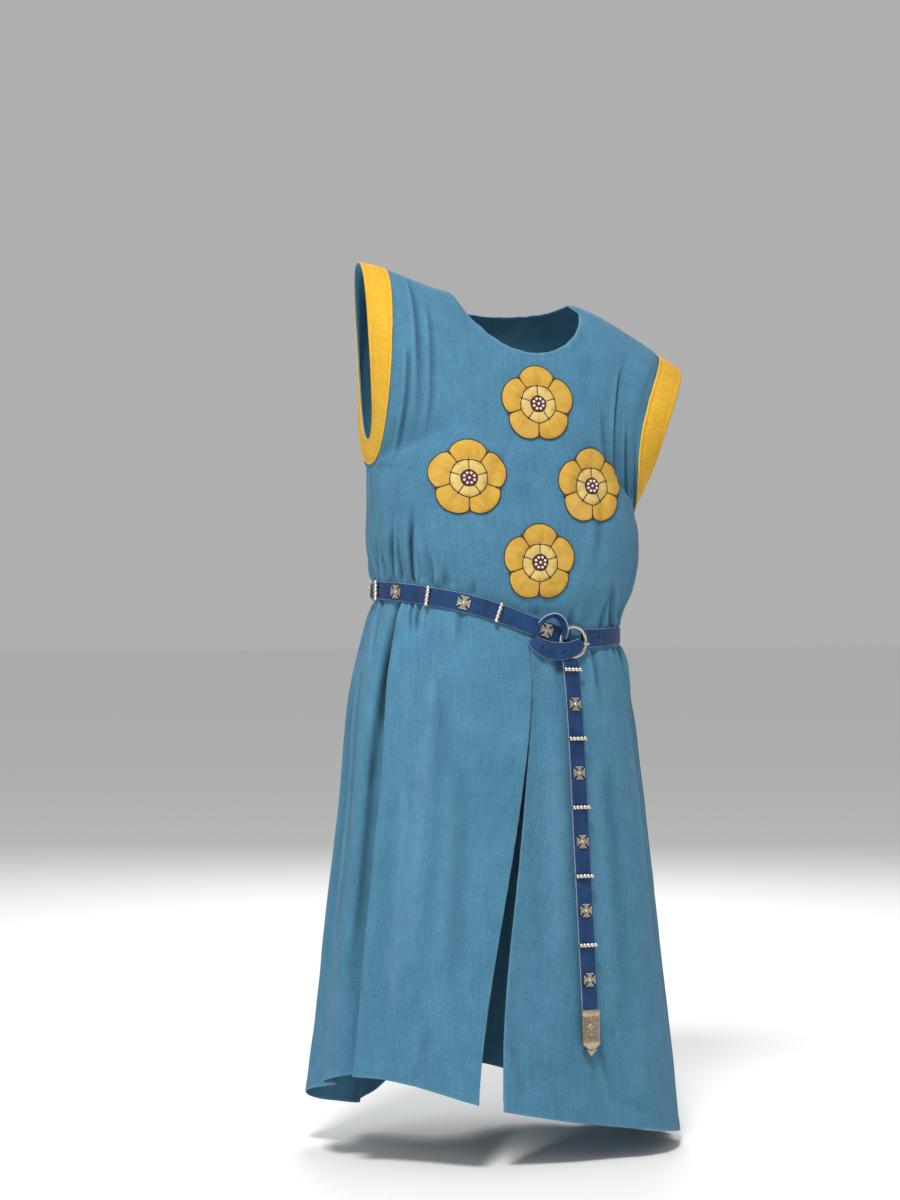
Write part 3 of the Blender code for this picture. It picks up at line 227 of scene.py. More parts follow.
# Four five-petalled roses in a lozenge on the chest, each a stitched-down patch
Rose = namedtuple("Rose", "name x z lift")
ROSES = [
    Rose("rose_top", -0.002, -0.158, 0.0007),
    Rose("rose_right", -0.104, -0.262, 0.0009),
    Rose("rose_left", 0.078, -0.271, 0.0014),
    Rose("rose_low", -0.004, -0.378, 0.0009),
]
ROSE_RADIUS = 0.054
ROSE_NOTCH = 0.20
ROSE_PETALS = 5

# Belt
STRAP_WIDTH = 0.025
STRAP_THICK = 0.0030
STRAP_STANDOFF = 0.0004
BAR_WIDTH = 0.029
BAR_RADIUS = 0.0032
BAR_BEADS = 5
STUD_SIZE = 0.018
STUD_THICK = 0.0024
STUD_NECK = 0.0024
STUD_FLARE = 0.36
FITTING_PITCH = 0.100
WAIST_BARS = 6
WAIST_START_DEG = 17.0
WAIST_END_DEG = 23.5
BUCKLE_X = 0.0500
BUCKLE_DROP = 0.0070
BUCKLE_RADIUS = 0.0210
BUCKLE_WIRE = 0.0026
TONGUE_HALF = 0.0012
# Tongue: distance from the ring's middle, height over its plane, half width
TONGUE_ROWS = ((0.0162, 0.0030, 0.0021), (0.0178, 0.0038, 0.0020), (0.0215, 0.0044, 0.0017),
               (0.0248, 0.0040, 0.0012))
TAIL_PITCH = 0.0950
TAIL_BARS = 5
TAIL_FIRST_BAR = 0.0140
STRAP_END_WIDTH = 0.0270
STRAP_END_BODY = 0.048
STRAP_END_TIP = 0.015
STRAP_END_THICK = 0.0050
STRAP_END_SHOULDER = 0.004
STRAP_END_NARROW = 0.55

# Path of the strap after the buckle: x, height over the belt line, distance of its middle out
# from the cloth, and how far its width is turned out of the cloth's plane
Knot = namedtuple("Knot", "name x rise out turn_deg width")
RETURN_PATH = [Knot(*row) for row in (
    ("inside_ring", 0.0600, -0.0065, 0.0118, 0, 0.0150),
    ("over_ring", 0.0530, -0.0130, 0.0128, 0, 0.0200),
    ("left_rim", 0.0420, -0.0195, 0.0140, 0, 0.0230),
    ("past_ring", 0.0270, -0.0245, 0.0135, 0, 0.0245),
    ("low_middle", 0.0120, -0.0255, 0.0110, 0, 0.0235),
    ("left_turn", 0.0000, -0.0225, 0.0082, 0, 0.0205),
    ("left_end", -0.0070, -0.0185, 0.0056, 0, 0.0150),
)]
LOOP_PATH = [Knot(*row) for row in (
    ("rise", -0.0050, 0.0040, 0.0108, 30, 0.0100),
    ("shoulder", 0.0000, 0.0150, 0.0126, 50, 0.0120),
    ("crown", 0.0100, 0.0225, 0.0148, 66, 0.0135),
    ("far_side", 0.0210, 0.0195, 0.0162, 72, 0.0140),
    ("fall", 0.0285, 0.0110, 0.0163, 72, 0.0130),
    ("tuck", 0.0310, 0.0020, 0.0154, 66, 0.0115),
    ("under", 0.0315, -0.0060, 0.0145, 45, 0.0070),
)]
TAIL_TOP_X = 0.0430
TAIL_LOW_X = 0.0540
TAIL_TOP_RISE = -0.0340
TAIL_LENGTH = 0.545
TAIL_STANDOFF = 0.0050
TAIL_SLOPE = 0.995


def ease(t):
    """Smooth step from 0 to 1."""
    t = min(max(t, 0.0), 1.0)
    return t * t * (3 - 2 * t)


def curve_value(keys, values, key):
    """Smooth value of a table column between its rows, without overshoot at the ends."""
    if keys[0] > keys[-1]:
        keys, values = keys[::-1], values[::-1]
    if key <= keys[0]:
        return values[0]
    if key >= keys[-1]:
        return values[-1]
    i = max(n for n in range(len(keys) - 1) if keys[n] <= key)
    slopes = []
    for n in (i, i + 1):
        low, high = max(n - 1, 0), min(n + 1, len(keys) - 1)
        slopes.append((values[high] - values[low]) / (keys[high] - keys[low]))
    step = keys[i + 1] - keys[i]
    t = (key - keys[i]) / step
    return (
        values[i] * (2 * t**3 - 3 * t**2 + 1)
        + slopes[0] * step * (t**3 - 2 * t**2 + t)
        + values[i + 1] * (3 * t**2 - 2 * t**3)
        + slopes[1] * step * (t**3 - t**2)
    )


@lru_cache(maxsize=None)
def ring_at(level):
    """The ring's sizes at a level between the rows of RINGS."""
    levels = [r.level for r in RINGS]
    values = [curve_value(levels, [getattr(r, f) for r in RINGS], level) for f in Ring._fields[2:]]
    return Ring("between", level, *values)


def signed_power(value, power):
    return math.copysign(abs(value) ** power, value)


def hem_drop(angle, level):
    """How far the cloth hangs below its ring near the hem."""
    hem = RINGS[-1].level
    near = ease(1 - (level - hem) / HEM_REACH)
    if near == 0.0:
        return 0.0
    turned = (math.degrees(angle) + 180) % 360 - 180
    return near * curve_value([h.angle for h in HEM_LINE], [h.drop for h in HEM_LINE], turned)


def oval_point(ring, angle):
    """Point of the smooth oval at an angle from the front centre, and the normal there."""
    in_front = math.cos(angle) > 0
    depth = ring.front if in_front else ring.back
    roundness = ring.round_front if in_front else ring.round_back
    power = 2 / roundness
    across, along = signed_power(math.sin(angle), power), signed_power(math.cos(angle), power)
    x = ring.centre_x + ring.half_width * across
    y = -depth * along
    rise = roundness - 1
    normal = Vector(
        (
            signed_power(across, rise) / ring.half_width,
            -signed_power(along, rise) / depth,
            0,
        )
    ).normalized()
    forward = max(math.cos(angle), 0.0) ** 0.5
    dip = ring.belt_dip * math.exp(-(((x - DIP_CENTRE_X) / DIP_REACH_X) ** 2)) * forward
    z = ring.level - ring.tilt * x - dip - hem_drop(angle, ring.level)
    return Vector((x, y, z)), normal


def slit_shift(level):
    """Angle, in radians, by which the front slit lies off the front centre."""
    along = (BELT_LEVEL - level) / (BELT_LEVEL - RINGS[-1].level)
    return math.radians(SLIT_DRIFT_DEG) * ease(along) if along > 0 else 0.0


def slit_gap(level):
    """Width of the slit's opening at a level."""
    along = (BELT_LEVEL - SLIT_TOP - level) / (BELT_LEVEL - SLIT_TOP - RINGS[-1].level)
    return SLIT_TOP_GAP + (SLIT_HEM_GAP - SLIT_TOP_GAP) * max(along, 0.0) ** 1.6


def fold_effect(folds, angle_deg, travel, reach):
    """Depth and sideways pull of all folds at an angle; travel is the distance from the belt
    line along the cloth, and reach its whole length that way."""
    depth, pull = 0.0, 0.0
    for fold in folds:
        along = min(max(travel / reach, 0.0), 1.0)
        centre = fold.angle + (fold.end_angle - fold.angle) * along
        width = fold.width + (fold.end_width - fold.width) * along
        off = ((angle_deg - centre + 180) % 360 - 180) / width
        if abs(off) >= 2:
            continue
        shape = (1 - (off / 2) ** 2) ** 4
        grown = ease((travel - fold.start) / (fold.full - fold.start))
        size = fold.depth + (fold.end_depth - fold.depth) * along
        depth += shape * grown * size
        pull += shape * grown * fold.lean * along
    return depth, pull


def skirt_effect(angle_deg, level):
    return fold_effect(SKIRT_FOLDS, angle_deg, BELT_LEVEL - level, BELT_LEVEL - RINGS[-1].level)


def bodice_effect(angle_deg, travel):
    """Gathers over the belt, which die out upwards."""
    depth = 0.0
    for fold in BODICE_FOLDS:
        along = min(max(travel / fold.start, 0.0), 1.0)
        centre = fold.angle + (fold.end_angle - fold.angle) * along
        width = fold.width + (fold.end_width - fold.width) * along
        off = ((angle_deg - centre + 180) % 360 - 180) / width
        if abs(off) < 2:
            shape = (1 - (off / 2) ** 2) ** 4
            depth += shape * fold.depth * (1 - ease(along))
    return depth


def skirt_point(angle, level):
    """Outer face of the cloth below the armholes, folds and all; the strap presses them flat."""
    angle_deg = math.degrees(angle)
    travel = level - BELT_LEVEL
    depth, pull = skirt_effect(angle_deg, level)
    depth += bodice_effect(angle_deg, travel) if travel > 0 else 0.0
    pressed = math.exp(-((travel / FLAT_UNDER_BELT) ** 6))
    depth = depth * (1 - pressed) - FOLD_CLEAR_OF_BELT * pressed
    point, normal = oval_point(ring_at(level), angle + math.radians(pull))
    return point + normal * depth


@lru_cache(maxsize=None)
def armhole(side, line):
    """Row of ARMHOLES; a border's lowest point is where the underarm ring meets the side seam."""
    hole = next(a for a in ARMHOLES if a.side == side and a.line == line)
    if line == "edge":
        return hole
    ring = RINGS[0]
    low_x = ring.centre_x + ring.half_width * (1 if side == "left" else -1)
    return hole._replace(low_x=low_x, low_z=ring.level - ring.tilt * low_x)


def armhole_point(hole, phi):
    """Point on an armhole line; phi is 0 at the shoulder, a half turn at the underarm, and
    positive in front."""
    up, out = math.cos(phi), math.sin(phi)
    middle_x = hole.front_x if out > 0 else hole.back_x
    reach = hole.front_reach if out > 0 else hole.back_reach
    straight = hole.top_x * (1 + up) / 2 + hole.low_x * (1 - up) / 2
    x = straight + (middle_x - (hole.top_x + hole.low_x) / 2) * out**2
    z = (hole.top_z + hole.low_z) / 2 + (hole.top_z - hole.low_z) / 2 * up
    return Vector((x, -reach * out, z))


def shoulder_height(x):
    return curve_value([s.x for s in SHOULDER_LINE], [s.z for s in SHOULDER_LINE], x)


def top_height(x, front):
    """Height of the panel's upper edge: the shoulder line, cut down at the neck."""
    height = shoulder_height(x)
    off = abs(x) / NECK_HALF_WIDTH
    if off < 1:
        drop = NECK_DROP_FRONT if front else NECK_DROP_BACK
        height -= drop * (1 - off**2) ** NECK_CORNER
    return height


def yoke_point(angle, up):
    """Outer face of the cloth over the armholes' lowest points; up runs from 0 there to 1 at
    the shoulder seam and neckline. angle is that of the ring below, 0 at the front centre."""
    front = abs(angle) <= math.pi / 2 + 1e-9
    phi = math.acos(2 * up - 1)
    ring = RINGS[0]
    roundness = ring.round_front if front else ring.round_back
    across = signed_power(math.sin(angle), 2 / roundness)
    open_up = ease(up / (YOKE_BLEND * (1 - SIDE_HASTE * abs(across) ** HOLD_POWER)))
    turned = abs(angle) if front else math.pi - abs(angle)
    even = math.copysign(turned / math.pi + math.sin(turned) / 2, across)
    across += (even - across) * open_up
    hole = armhole("right" if across < 0 else "left", "border")
    edge = armhole_point(hole, phi if front else -phi)
    hold = abs(across) ** HOLD_POWER
    pull = hold + (1 - hold) * ease(up / YOKE_BLEND)
    side_x = hole.low_x + (edge.x - hole.low_x) * pull
    side_reach = abs(edge.y) * pull
    middle = ring.centre_x * (1 - up)
    x = middle + abs(across) * (side_x - middle)
    low = ring.level - ring.tilt * x
    z = low + (top_height(x, front) - low) * up
    deep = ring.front if front else ring.back
    below = min(max((shoulder_height(x) - z) / SHOULDER_ROUNDING, 0.0), 1.0)
    deep *= (1 - (1 - below) ** SHOULDER_POWER) ** (1 / SHOULDER_POWER)
    power = roundness + (YOKE_POWER - roundness) * open_up
    taper = 1 / roundness + (YOKE_TAPER - 1 / roundness) * open_up
    reach = side_reach + (deep - side_reach) * (1 - abs(across) ** power) ** taper
    if up >= 1:
        reach = 0.0 if abs(x) >= NECK_HALF_WIDTH else reach
    return Vector((x, -reach if front else reach, z))


def yoke_folds(angle, up):
    """Gathers and the crease beside the left armhole, where they run up into the yoke."""
    angle_deg = math.degrees(angle)
    travel = RINGS[0].level - BELT_LEVEL + up * YOKE_TRAVEL
    depth = bodice_effect(angle_deg, travel) * (1 - ease(up / 0.5))
    crease = math.exp(-(((angle_deg - LEFT_CREASE_DEG) / LEFT_CREASE_WIDTH) ** 2))
    depth -= LEFT_CREASE_DEPTH * crease * ease(up / 0.2) * (1 - ease((up - 0.55) / 0.4))
    drape = math.exp(-(((angle_deg - CHEST_DRAPE_DEG) / CHEST_DRAPE_WIDTH) ** 2))
    depth -= CHEST_DRAPE_DEPTH * drape * math.sin(math.pi * up)
    return depth


def cloth_point(angle, height):
    """Outer face of the whole garment. height is a level below the armholes, or that of the
    underarm ring plus 0 to 1 in the yoke."""
    base = RINGS[0].level
    if height <= base:
        return skirt_point(angle, height)
    up = height - base
    point = yoke_point(angle, up)
    depth = yoke_folds(angle, up)
    outward = Vector((point.x * 0.4, point.y, 0.0))
    return point + outward.normalized() * depth if outward.length > 0.01 else point


def skirt_on_front(x, z):
    """Point and normal of the smooth skirt, without folds, at a given x and z."""
    level, angle = z + BELT_TILT * x, 0.0
    for _ in range(12):
        ring = ring_at(level)
        share = min(max((x - ring.centre_x) / ring.half_width, -0.98), 0.98)
        angle = math.asin(signed_power(share, ring.round_front / 2))
        point, normal = oval_point(ring, angle)
        level += z - point.z
    return point, normal


def front_angle(share, level):
    """Angle of a column of the front panel; the column at share 0 follows the slit."""
    shift = slit_shift(level) if level <= BELT_LEVEL else 0.0
    return share * math.pi / 2 + shift * (1 - share * share)


def front_point(share, height):
    """Point of the front panel, off its seams by half the seam gap."""
    base = RINGS[0].level
    angle = front_angle(share, height) if height <= base else share * math.pi / 2
    point = cloth_point(angle, height)
    if abs(share) > 1 - 1e-9 or (height - base > 1 - 1e-9 and abs(point.x) >= NECK_HALF_WIDTH):
        if height > base:
            hole = armhole("right" if share < 0 else "left", "border")
            if abs(share) > 1 - 1e-9:
                point = armhole_point(hole, math.acos(2 * (height - base) - 1))
        if abs(point.y) < 2 * SEAM_HALF_GAP or height <= base:
            point.y -= SEAM_HALF_GAP
    return point


def back_point(share, height):
    """Point of the back panel; share runs from the wearer's right side seam to the left one."""
    base = RINGS[0].level
    angle = -math.pi / 2 - (share + 1) * math.pi / 2
    point = cloth_point(angle, height)
    at_edge = abs(share) > 1 - 1e-9
    if at_edge and height > base:
        hole = armhole("right" if share < 0 else "left", "border")
        point = armhole_point(hole, -math.acos(2 * (height - base) - 1))
    on_shoulder = height - base > 1 - 1e-9 and abs(point.x) >= NECK_HALF_WIDTH
    if (at_edge and height <= base) or ((at_edge or on_shoulder) and abs(point.y) < 2e-3):
        point.y += SEAM_HALF_GAP
    return point


def strip_point(side, phi, share):
    border, edge = armhole(side, "border"), armhole(side, "edge")
    return armhole_point(border, phi).lerp(armhole_point(edge, phi), share)


def strip_normal(side, phi, share):
    step = 0.02
    along = strip_point(side, phi + step, share) - strip_point(side, phi - step, share)
    across = strip_point(side, phi, share + step) - strip_point(side, phi, share - step)
    normal = along.cross(across).normalized()
    return normal if normal.x * (-1 if side == "right" else 1) + normal.z * 0.3 > 0 else -normal


def rose_radius(turn):
    """Outline of a five-petalled rose."""
    petal = abs(math.cos(ROSE_PETALS * turn / 2))
    return ROSE_RADIUS * (1 - ROSE_NOTCH + ROSE_NOTCH * petal**0.6)


def waist_frame(angle):
    """Point on the cloth's belt line, and the directions out, along and up the strap there."""
    ring = ring_at(BELT_LEVEL)
    point, normal = oval_point(ring, angle)
    ahead, _ = oval_point(ring, angle - 0.01)
    behind, _ = oval_point(ring, angle + 0.01)
    along = (ahead - behind).normalized()
    up = normal.cross(along).normalized()
    up = up if up.z > 0 else -up
    out = along.cross(up).normalized()
    return point, (out if out.dot(normal) > 0 else -out), along, up


def waist_angle_at(distance):
    """Ring angle at a distance along the strap from the slit, positive to the wearer's right."""
    ring = ring_at(BELT_LEVEL)
    step = math.radians(0.5) * (1 if distance > 0 else -1)
    angle, gone = math.radians(-0.5), 0.0
    here, _ = oval_point(ring, angle)
    while gone < abs(distance):
        angle -= step
        there, _ = oval_point(ring, angle)
        gone += (there - here).length
        here = there
    return angle


def knot_station(knot, path, index):
    """Station of the strap in the knot at the buckle."""
    ring = ring_at(BELT_LEVEL)

    def middle_of(spot):
        share = (spot.x - ring.centre_x) / ring.half_width
        angle = math.asin(signed_power(share, ring.round_front / 2))
        point, out, _, up = waist_frame(angle)
        return point + up * spot.rise + out * spot.out, out, up

    middle, out, up = middle_of(knot)
    before, _, _ = middle_of(path[max(index - 1, 0)])
    after, _, _ = middle_of(path[min(index + 1, len(path) - 1)])
    along = (after - before).normalized()
    flat = out.cross(along).normalized()
    turn = math.radians(knot.turn_deg)
    wide = (flat * math.cos(turn) + out * math.sin(turn)).normalized()
    face = along.cross(wide).normalized()
    return middle, wide, face, knot.width, STRAP_THICK


def finer_path(path, steps):
    """More stations on a smooth curve through a table's rows."""
    rows = []
    keys = list(range(len(path)))
    for n in range((len(path) - 1) * steps + 1):
        key = n / steps
        values = [curve_value(keys, [getattr(k, f) for k in path], key) for f in Knot._fields[1:]]
        rows.append(Knot("between", *values))
    return rows


def tail_frame(distance):
    """Point on the skirt under the hanging strap at a distance down it, and its directions."""
    ring = ring_at(BELT_LEVEL)
    share = (TAIL_TOP_X - ring.centre_x) / ring.half_width
    start, _, _, _ = waist_frame(math.asin(signed_power(share, ring.round_front / 2)))
    along = distance / TAIL_LENGTH
    x = TAIL_TOP_X + (TAIL_LOW_X - TAIL_TOP_X) * along
    z = start.z + TAIL_TOP_RISE - distance * TAIL_SLOPE
    point, normal = skirt_on_front(x, z)
    lower, _ = skirt_on_front(x, z - 0.02)
    down = (lower - point).normalized()
    side = down.cross(normal).normalized()
    out = side.cross(down).normalized()
    out = out if out.y < 0 else -out
    return point, out, down, side

# Grid of the fine panels. A stretch is a number of steps between two angles or two heights.
Stretch = namedtuple("Stretch", "start end steps")
FRONT_COLUMNS = [Stretch(*row) for row in (
    (-90, -86, 4),
    (-86, -46, 46),
    (-46, -5, 38),
    (-5, 0, 6),
    (0, 5, 6),
    (5, 60, 48),
    (60, 86, 24),
    (86, 90, 4),
)]
BACK_COLUMNS = [Stretch(-90, -86, 3), Stretch(-86, 86, 136), Stretch(86, 90, 3)]
SKIRT_LEVELS = [Stretch(*row) for row in (
    (-0.2797, -0.4150, 28),
    (-0.4150, -0.4795, 24),
    (-0.4795, -0.5600, 18),
    (-0.5600, -1.1180, 74),
    (-1.1180, -1.1360, 8),
)]
YOKE_FINE = 52
STRIP_FINE = 3
CLOTH_WALL = 0.0016

# Turned edges: how wide each is turned in, how far it stands out, and its row of stitches
TURN_HEM = 0.016
TURN_SLIT = 0.011
TURN_NECK = 0.012
TURN_SEAM = 0.010
TURN_RISE = 0.0006
STITCH_PITCH = 0.0042
STITCH_LENGTH = 0.0030
STITCH_RADIUS = 0.00032

# Fine creases. angle and travel are the two ends of each: travel is the distance
# above the belt line, negative below it. width is across the crease, in metres, and a negative
# width puts the crease's raised lip on its other side.
Crease = namedtuple("Crease", "name angle travel end_angle end_travel width depth")
CREASES = [Crease(*row) for row in (
    ("pleat_1", -96, 0.010, -98, 0.075, 0.0052, -0.0064),
    ("pleat_2", -90, 0.010, -86, 0.080, 0.0042, -0.0068),
    ("pleat_3", -83, 0.010, -82, 0.095, 0.0038, -0.0074),
    ("pleat_4", -78, 0.010, -79, 0.045, 0.0037, 0.0042),
    ("pleat_5", -73, 0.010, -69, 0.120, 0.0042, -0.0078),
    ("pleat_6", -66.6, 0.010, -66, 0.085, 0.0036, -0.0068),
    ("pleat_7", -57.6, 0.009, -54, 0.130, 0.0046, -0.0104),
    ("pleat_8", -51.4, 0.009, -50, 0.100, 0.0052, 0.0058),
    ("pleat_9", -46, 0.008, -45, 0.060, 0.0045, -0.0054),
    ("pleat_10", -38, 0.008, -37, 0.045, 0.0052, -0.0042),
    ("pleat_11", -24, 0.008, -23, 0.038, 0.0063, -0.0035),
    ("pleat_12", 2, 0.006, 2, 0.034, 0.0063, -0.0032),
    ("pleat_13", 19, 0.006, 18, 0.045, 0.0060, -0.0042),
    ("pleat_14", 40, 0.006, 38, 0.062, 0.0056, -0.0051),
    ("pleat_15", 55, 0.006, 34, 0.080, 0.0056, -0.0080),
    ("pleat_16", 66, 0.006, 65, 0.080, 0.0056, 0.0058),
    ("pleat_17", 77, 0.006, 76, 0.110, 0.0052, -0.0074),
    ("pleat_18", 88, 0.006, 88, 0.070, 0.0050, -0.0061),
    ("under_1", -87, -0.012, -77, -0.110, 0.0044, -0.0064),
    ("under_2", -68.4, -0.012, -72.8, -0.300, -0.0058, -0.0105),
    ("under_3", -58.8, -0.010, -53.5, -0.066, 0.0034, -0.0068),
    ("under_4", -54.4, -0.010, -50.5, -0.064, 0.0034, -0.0064),
    ("under_5", -50, -0.010, -48, -0.060, 0.0048, 0.0043),
    ("under_6", -30, -0.008, -28, -0.070, 0.0072, -0.0043),
    ("under_7", 12, -0.006, 10, -0.085, 0.0078, -0.0043),
    ("under_8", 33, -0.006, 31, -0.120, 0.0084, -0.0054),
    ("under_9", 52, -0.004, 51, -0.060, 0.0060, -0.0054),
    ("under_10", 85, -0.006, 80, -0.070, 0.0048, -0.0078),
    ("under_11", 70, -0.004, 72, -0.090, 0.0055, 0.0054),
    ("chest_drag_1", -70, 0.400, -64, 0.190, 0.0080, -0.0052),
    ("chest_drag_2", -58, 0.360, -57, 0.170, 0.0070, -0.0040),
    ("chest_drag_3", -76, 0.300, -75, 0.140, 0.0060, -0.0048),
    ("chest_drag_4", 62, 0.330, 57, 0.150, 0.0080, -0.0052),
    ("chest_drag_5", 48, 0.270, 52, 0.130, 0.0085, -0.0036),
    ("chest_drag_6", 74, 0.260, 72, 0.120, 0.0060, -0.0052),
    ("chest_drag_7", -12, 0.210, -16, 0.080, 0.0110, -0.0032),
    ("chest_drag_8", 26, 0.180, 22, 0.060, 0.0100, -0.0036),
    ("fall_1", -41.6, -0.150, -46, -0.580, -0.0120, 0.0062),
    ("fall_2", -28, -0.260, -27, -0.640, 0.0120, -0.0038),
    ("fall_3", -52, -0.300, -50, -0.680, 0.0090, 0.0042),
    ("fall_4", -88, -0.160, -87, -0.600, 0.0100, -0.0057),
    ("fall_5", 6, -0.200, 2, -0.560, 0.0120, 0.0034),
    ("fall_6", 31, -0.220, 29, -0.620, 0.0130, -0.0042),
    ("fall_7", 56, -0.140, 56, -0.520, 0.0120, -0.0042),
    ("fall_8", 70, -0.120, 73, -0.480, 0.0090, -0.0049),
    ("fall_9", -72.8, -0.250, -72.2, -0.680, -0.0090, -0.0064),
    ("seam_ridge_1", 84, -0.180, 85, -0.690, 0.0040, 0.0026),
    ("seam_ridge_2", 77, -0.320, 79, -0.690, 0.0046, 0.0022),
    ("hem_fold_1", -12, -0.600, -9, -0.680, 0.0060, -0.0024),
    ("hem_fold_2", 17, -0.565, 22.5, -0.668, 0.0056, -0.0032),
    ("hem_fold_3", 24, -0.650, 39, -0.668, 0.0042, -0.0026),
    ("hem_fold_4", -36, -0.610, -39, -0.685, 0.0065, -0.0027),
    ("hem_fold_5", 62, -0.610, 64, -0.685, 0.0060, 0.0024),
    ("back_pleat_1", -106, 0.010, -107, 0.085, 0.0057, -0.0066),
    ("back_pleat_2", -114, 0.010, -115, 0.060, 0.0052, 0.0045),
    ("back_pleat_3", -121, 0.010, -120, 0.110, 0.0057, -0.0069),
    ("back_pleat_4", -132, 0.010, -131, 0.050, 0.0057, -0.0045),
    ("back_pleat_5", -144, 0.010, -143, 0.080, 0.0063, -0.0057),
    ("back_pleat_6", -157, 0.010, -157, 0.055, 0.0063, -0.0042),
    ("back_pleat_7", -170, 0.010, -170, 0.095, 0.0063, -0.0060),
    ("back_pleat_8", 175, 0.010, 175, 0.050, 0.0057, 0.0039),
    ("back_pleat_9", 160, 0.010, 161, 0.075, 0.0063, -0.0051),
    ("back_pleat_10", 147, 0.010, 147, 0.100, 0.0063, -0.0063),
    ("back_pleat_11", 133, 0.010, 133, 0.060, 0.0057, -0.0051),
    ("back_pleat_12", 121, 0.010, 120, 0.090, 0.0057, -0.0066),
    ("back_pleat_13", 108, 0.010, 108, 0.070, 0.0053, -0.0060),
    ("back_under_1", -111, -0.012, -112, -0.110, 0.0057, -0.0058),
    ("back_under_2", -128, -0.012, -129, -0.070, 0.0057, 0.0048),
    ("back_under_3", -149, -0.012, -149, -0.090, 0.0069, -0.0051),
    ("back_under_4", -167, -0.012, -168, -0.060, 0.0063, 0.0042),
    ("back_under_5", 169, -0.012, 169, -0.085, 0.0069, -0.0051),
    ("back_under_6", 150, -0.012, 151, -0.110, 0.0069, -0.0051),
    ("back_under_7", 130, -0.012, 130, -0.075, 0.0057, 0.0048),
    ("back_under_8", 112, -0.012, 112, -0.095, 0.0057, -0.0058),
    ("back_drag_1", -118, 0.380, -124, 0.150, 0.0090, -0.0049),
    ("back_drag_2", -150, 0.300, -146, 0.120, 0.0110, -0.0038),
    ("back_drag_3", 172, 0.330, 176, 0.140, 0.0120, -0.0034),
    ("back_drag_4", 148, 0.290, 152, 0.110, 0.0110, -0.0042),
    ("back_drag_5", 116, 0.350, 120, 0.130, 0.0090, -0.0053),
    ("back_fall_1", -112, -0.180, -113, -0.560, 0.0110, -0.0044),
    ("back_fall_2", -129, -0.250, -131, -0.680, 0.0120, 0.0037),
    ("back_fall_3", -150, -0.160, -151, -0.520, 0.0120, -0.0037),
    ("back_fall_4", -169, -0.300, -170, -0.690, 0.0130, -0.0034),
    ("back_fall_5", 168, -0.200, 170, -0.600, 0.0130, -0.0037),
    ("back_fall_6", 149, -0.280, 148, -0.680, 0.0120, 0.0034),
    ("back_fall_7", 129, -0.170, 128, -0.540, 0.0120, -0.0044),
    ("back_fall_8", 110, -0.220, 109, -0.650, 0.0100, -0.0041),
)]
METRES_PER_DEGREE = 0.0036

# Unevenness of worn cloth: size of its waves in metres, and its depth
UNEVEN_WIDE = 0.060
UNEVEN_DEPTH = 0.0020
PUCKER_WIDE = 0.014
PUCKER_DEPTH = 0.0014
PUCKER_REACH = 0.022

# Armhole bands
BAND_TURNS = 208
BAND_SHEET = 0.0009

# Holes punched in the strap: distance of each from the buckle's middle round the waist, in
# metres along x on the front, and x along the strap's lower run
WAIST_HOLES_X = (0.0835, 0.0960, 0.1075)
RETURN_HOLES_X = (0.0078, 0.0346, 0.0553)
HOLE_RADIUS = 0.0015
STITCH_IN = 0.0024
FINE_FLAT = 0.0145
BASE_SOFT = 0.035

# Section of a band: share of its width from the armhole's sewn border to the free edge, and the
# height of its face over the cloth. The border is folded, with its stitches in a dent beside it.
BAND_PROFILE = (
    (0.08, 0.0011), (0.095, 0.0019), (0.12, 0.0023), (0.15, 0.0022), (0.185, 0.0013),
    (0.21, 0.0012), (0.25, 0.0019), (0.33, 0.0022), (0.45, 0.0024), (0.58, 0.0024),
    (0.70, 0.0023), (0.80, 0.0021), (0.86, 0.0014), (0.90, 0.0020), (0.96, 0.0019),
    (1.00, 0.0011),
)
BAND_SEAMS = ((0.197, 0.0015), (0.865, 0.0017))
BAND_RIPPLE = 0.0007
BAND_GIRTH = 0.10
BAND_WIDTH = 0.044

# Roses: shares of the radius where the heart ends and the outer petals start, the height of
# the backing and of the padding under each ring of stitches
HEART_SHARE = 0.24
PETAL_START = 0.50
ROSE_BASE = 0.0011
OUTER_PAD = 0.0022
INNER_PAD = 0.0018
HEART_PAD = 0.0024
ROSE_BACK = 0.0009
ROSE_TURNS = 140
ROSE_STEPS = 26
CORD_RADIUS = 0.00075
SEED_RADIUS = 0.0019
SEED_COUNT = 8
BARB_LENGTH = 0.0125

STRAP_CROWN = 0.0003
WAIST_FINE = 300
KNOT_FINE = 10
TAIL_FINE = 110
BAR_RINGS = 30

# Cut of each sheet: width, length and flat area, with folds laid flat and edges turned out
FRONT_CUT = (0.90, 1.30, 0.85)
BACK_CUT = (0.90, 1.30, 0.87)

# Stage
FLOOR_SIZE = 80.0
FLOOR_LEVEL = CAD_BOX[0].z - 0.002
CAMERA_PLACE = (-1.5104, -3.9198, -0.43)
CAMERA_TURN_DEG = -20
LIGHT_AIM = (0.0, 0.0, -0.55)
# Lights: name, place, size, share of the power, tint
STUDIO_LIGHTS = (
    ("key", (-1.3, -2.3, 2.8), 0.9, 1.0, (1.0, 0.98, 0.95)),
    ("fill", (-3.2, -1.6, 0.8), 2.2, 0.12, (0.95, 0.98, 1.0)),
    ("rim", (1.2, 3.2, 1.6), 1.8, 0.5, (1.0, 1.0, 1.0)),
)


def clear_selection():
    if bpy.context.mode != "OBJECT":
        bpy.ops.object.mode_set(mode="OBJECT")
    bpy.ops.object.select_all(action="DESELECT")


def choose(piece):
    """Select one piece alone."""
    clear_selection()
    piece.select_set(True)
    bpy.context.view_layer.objects.active = piece


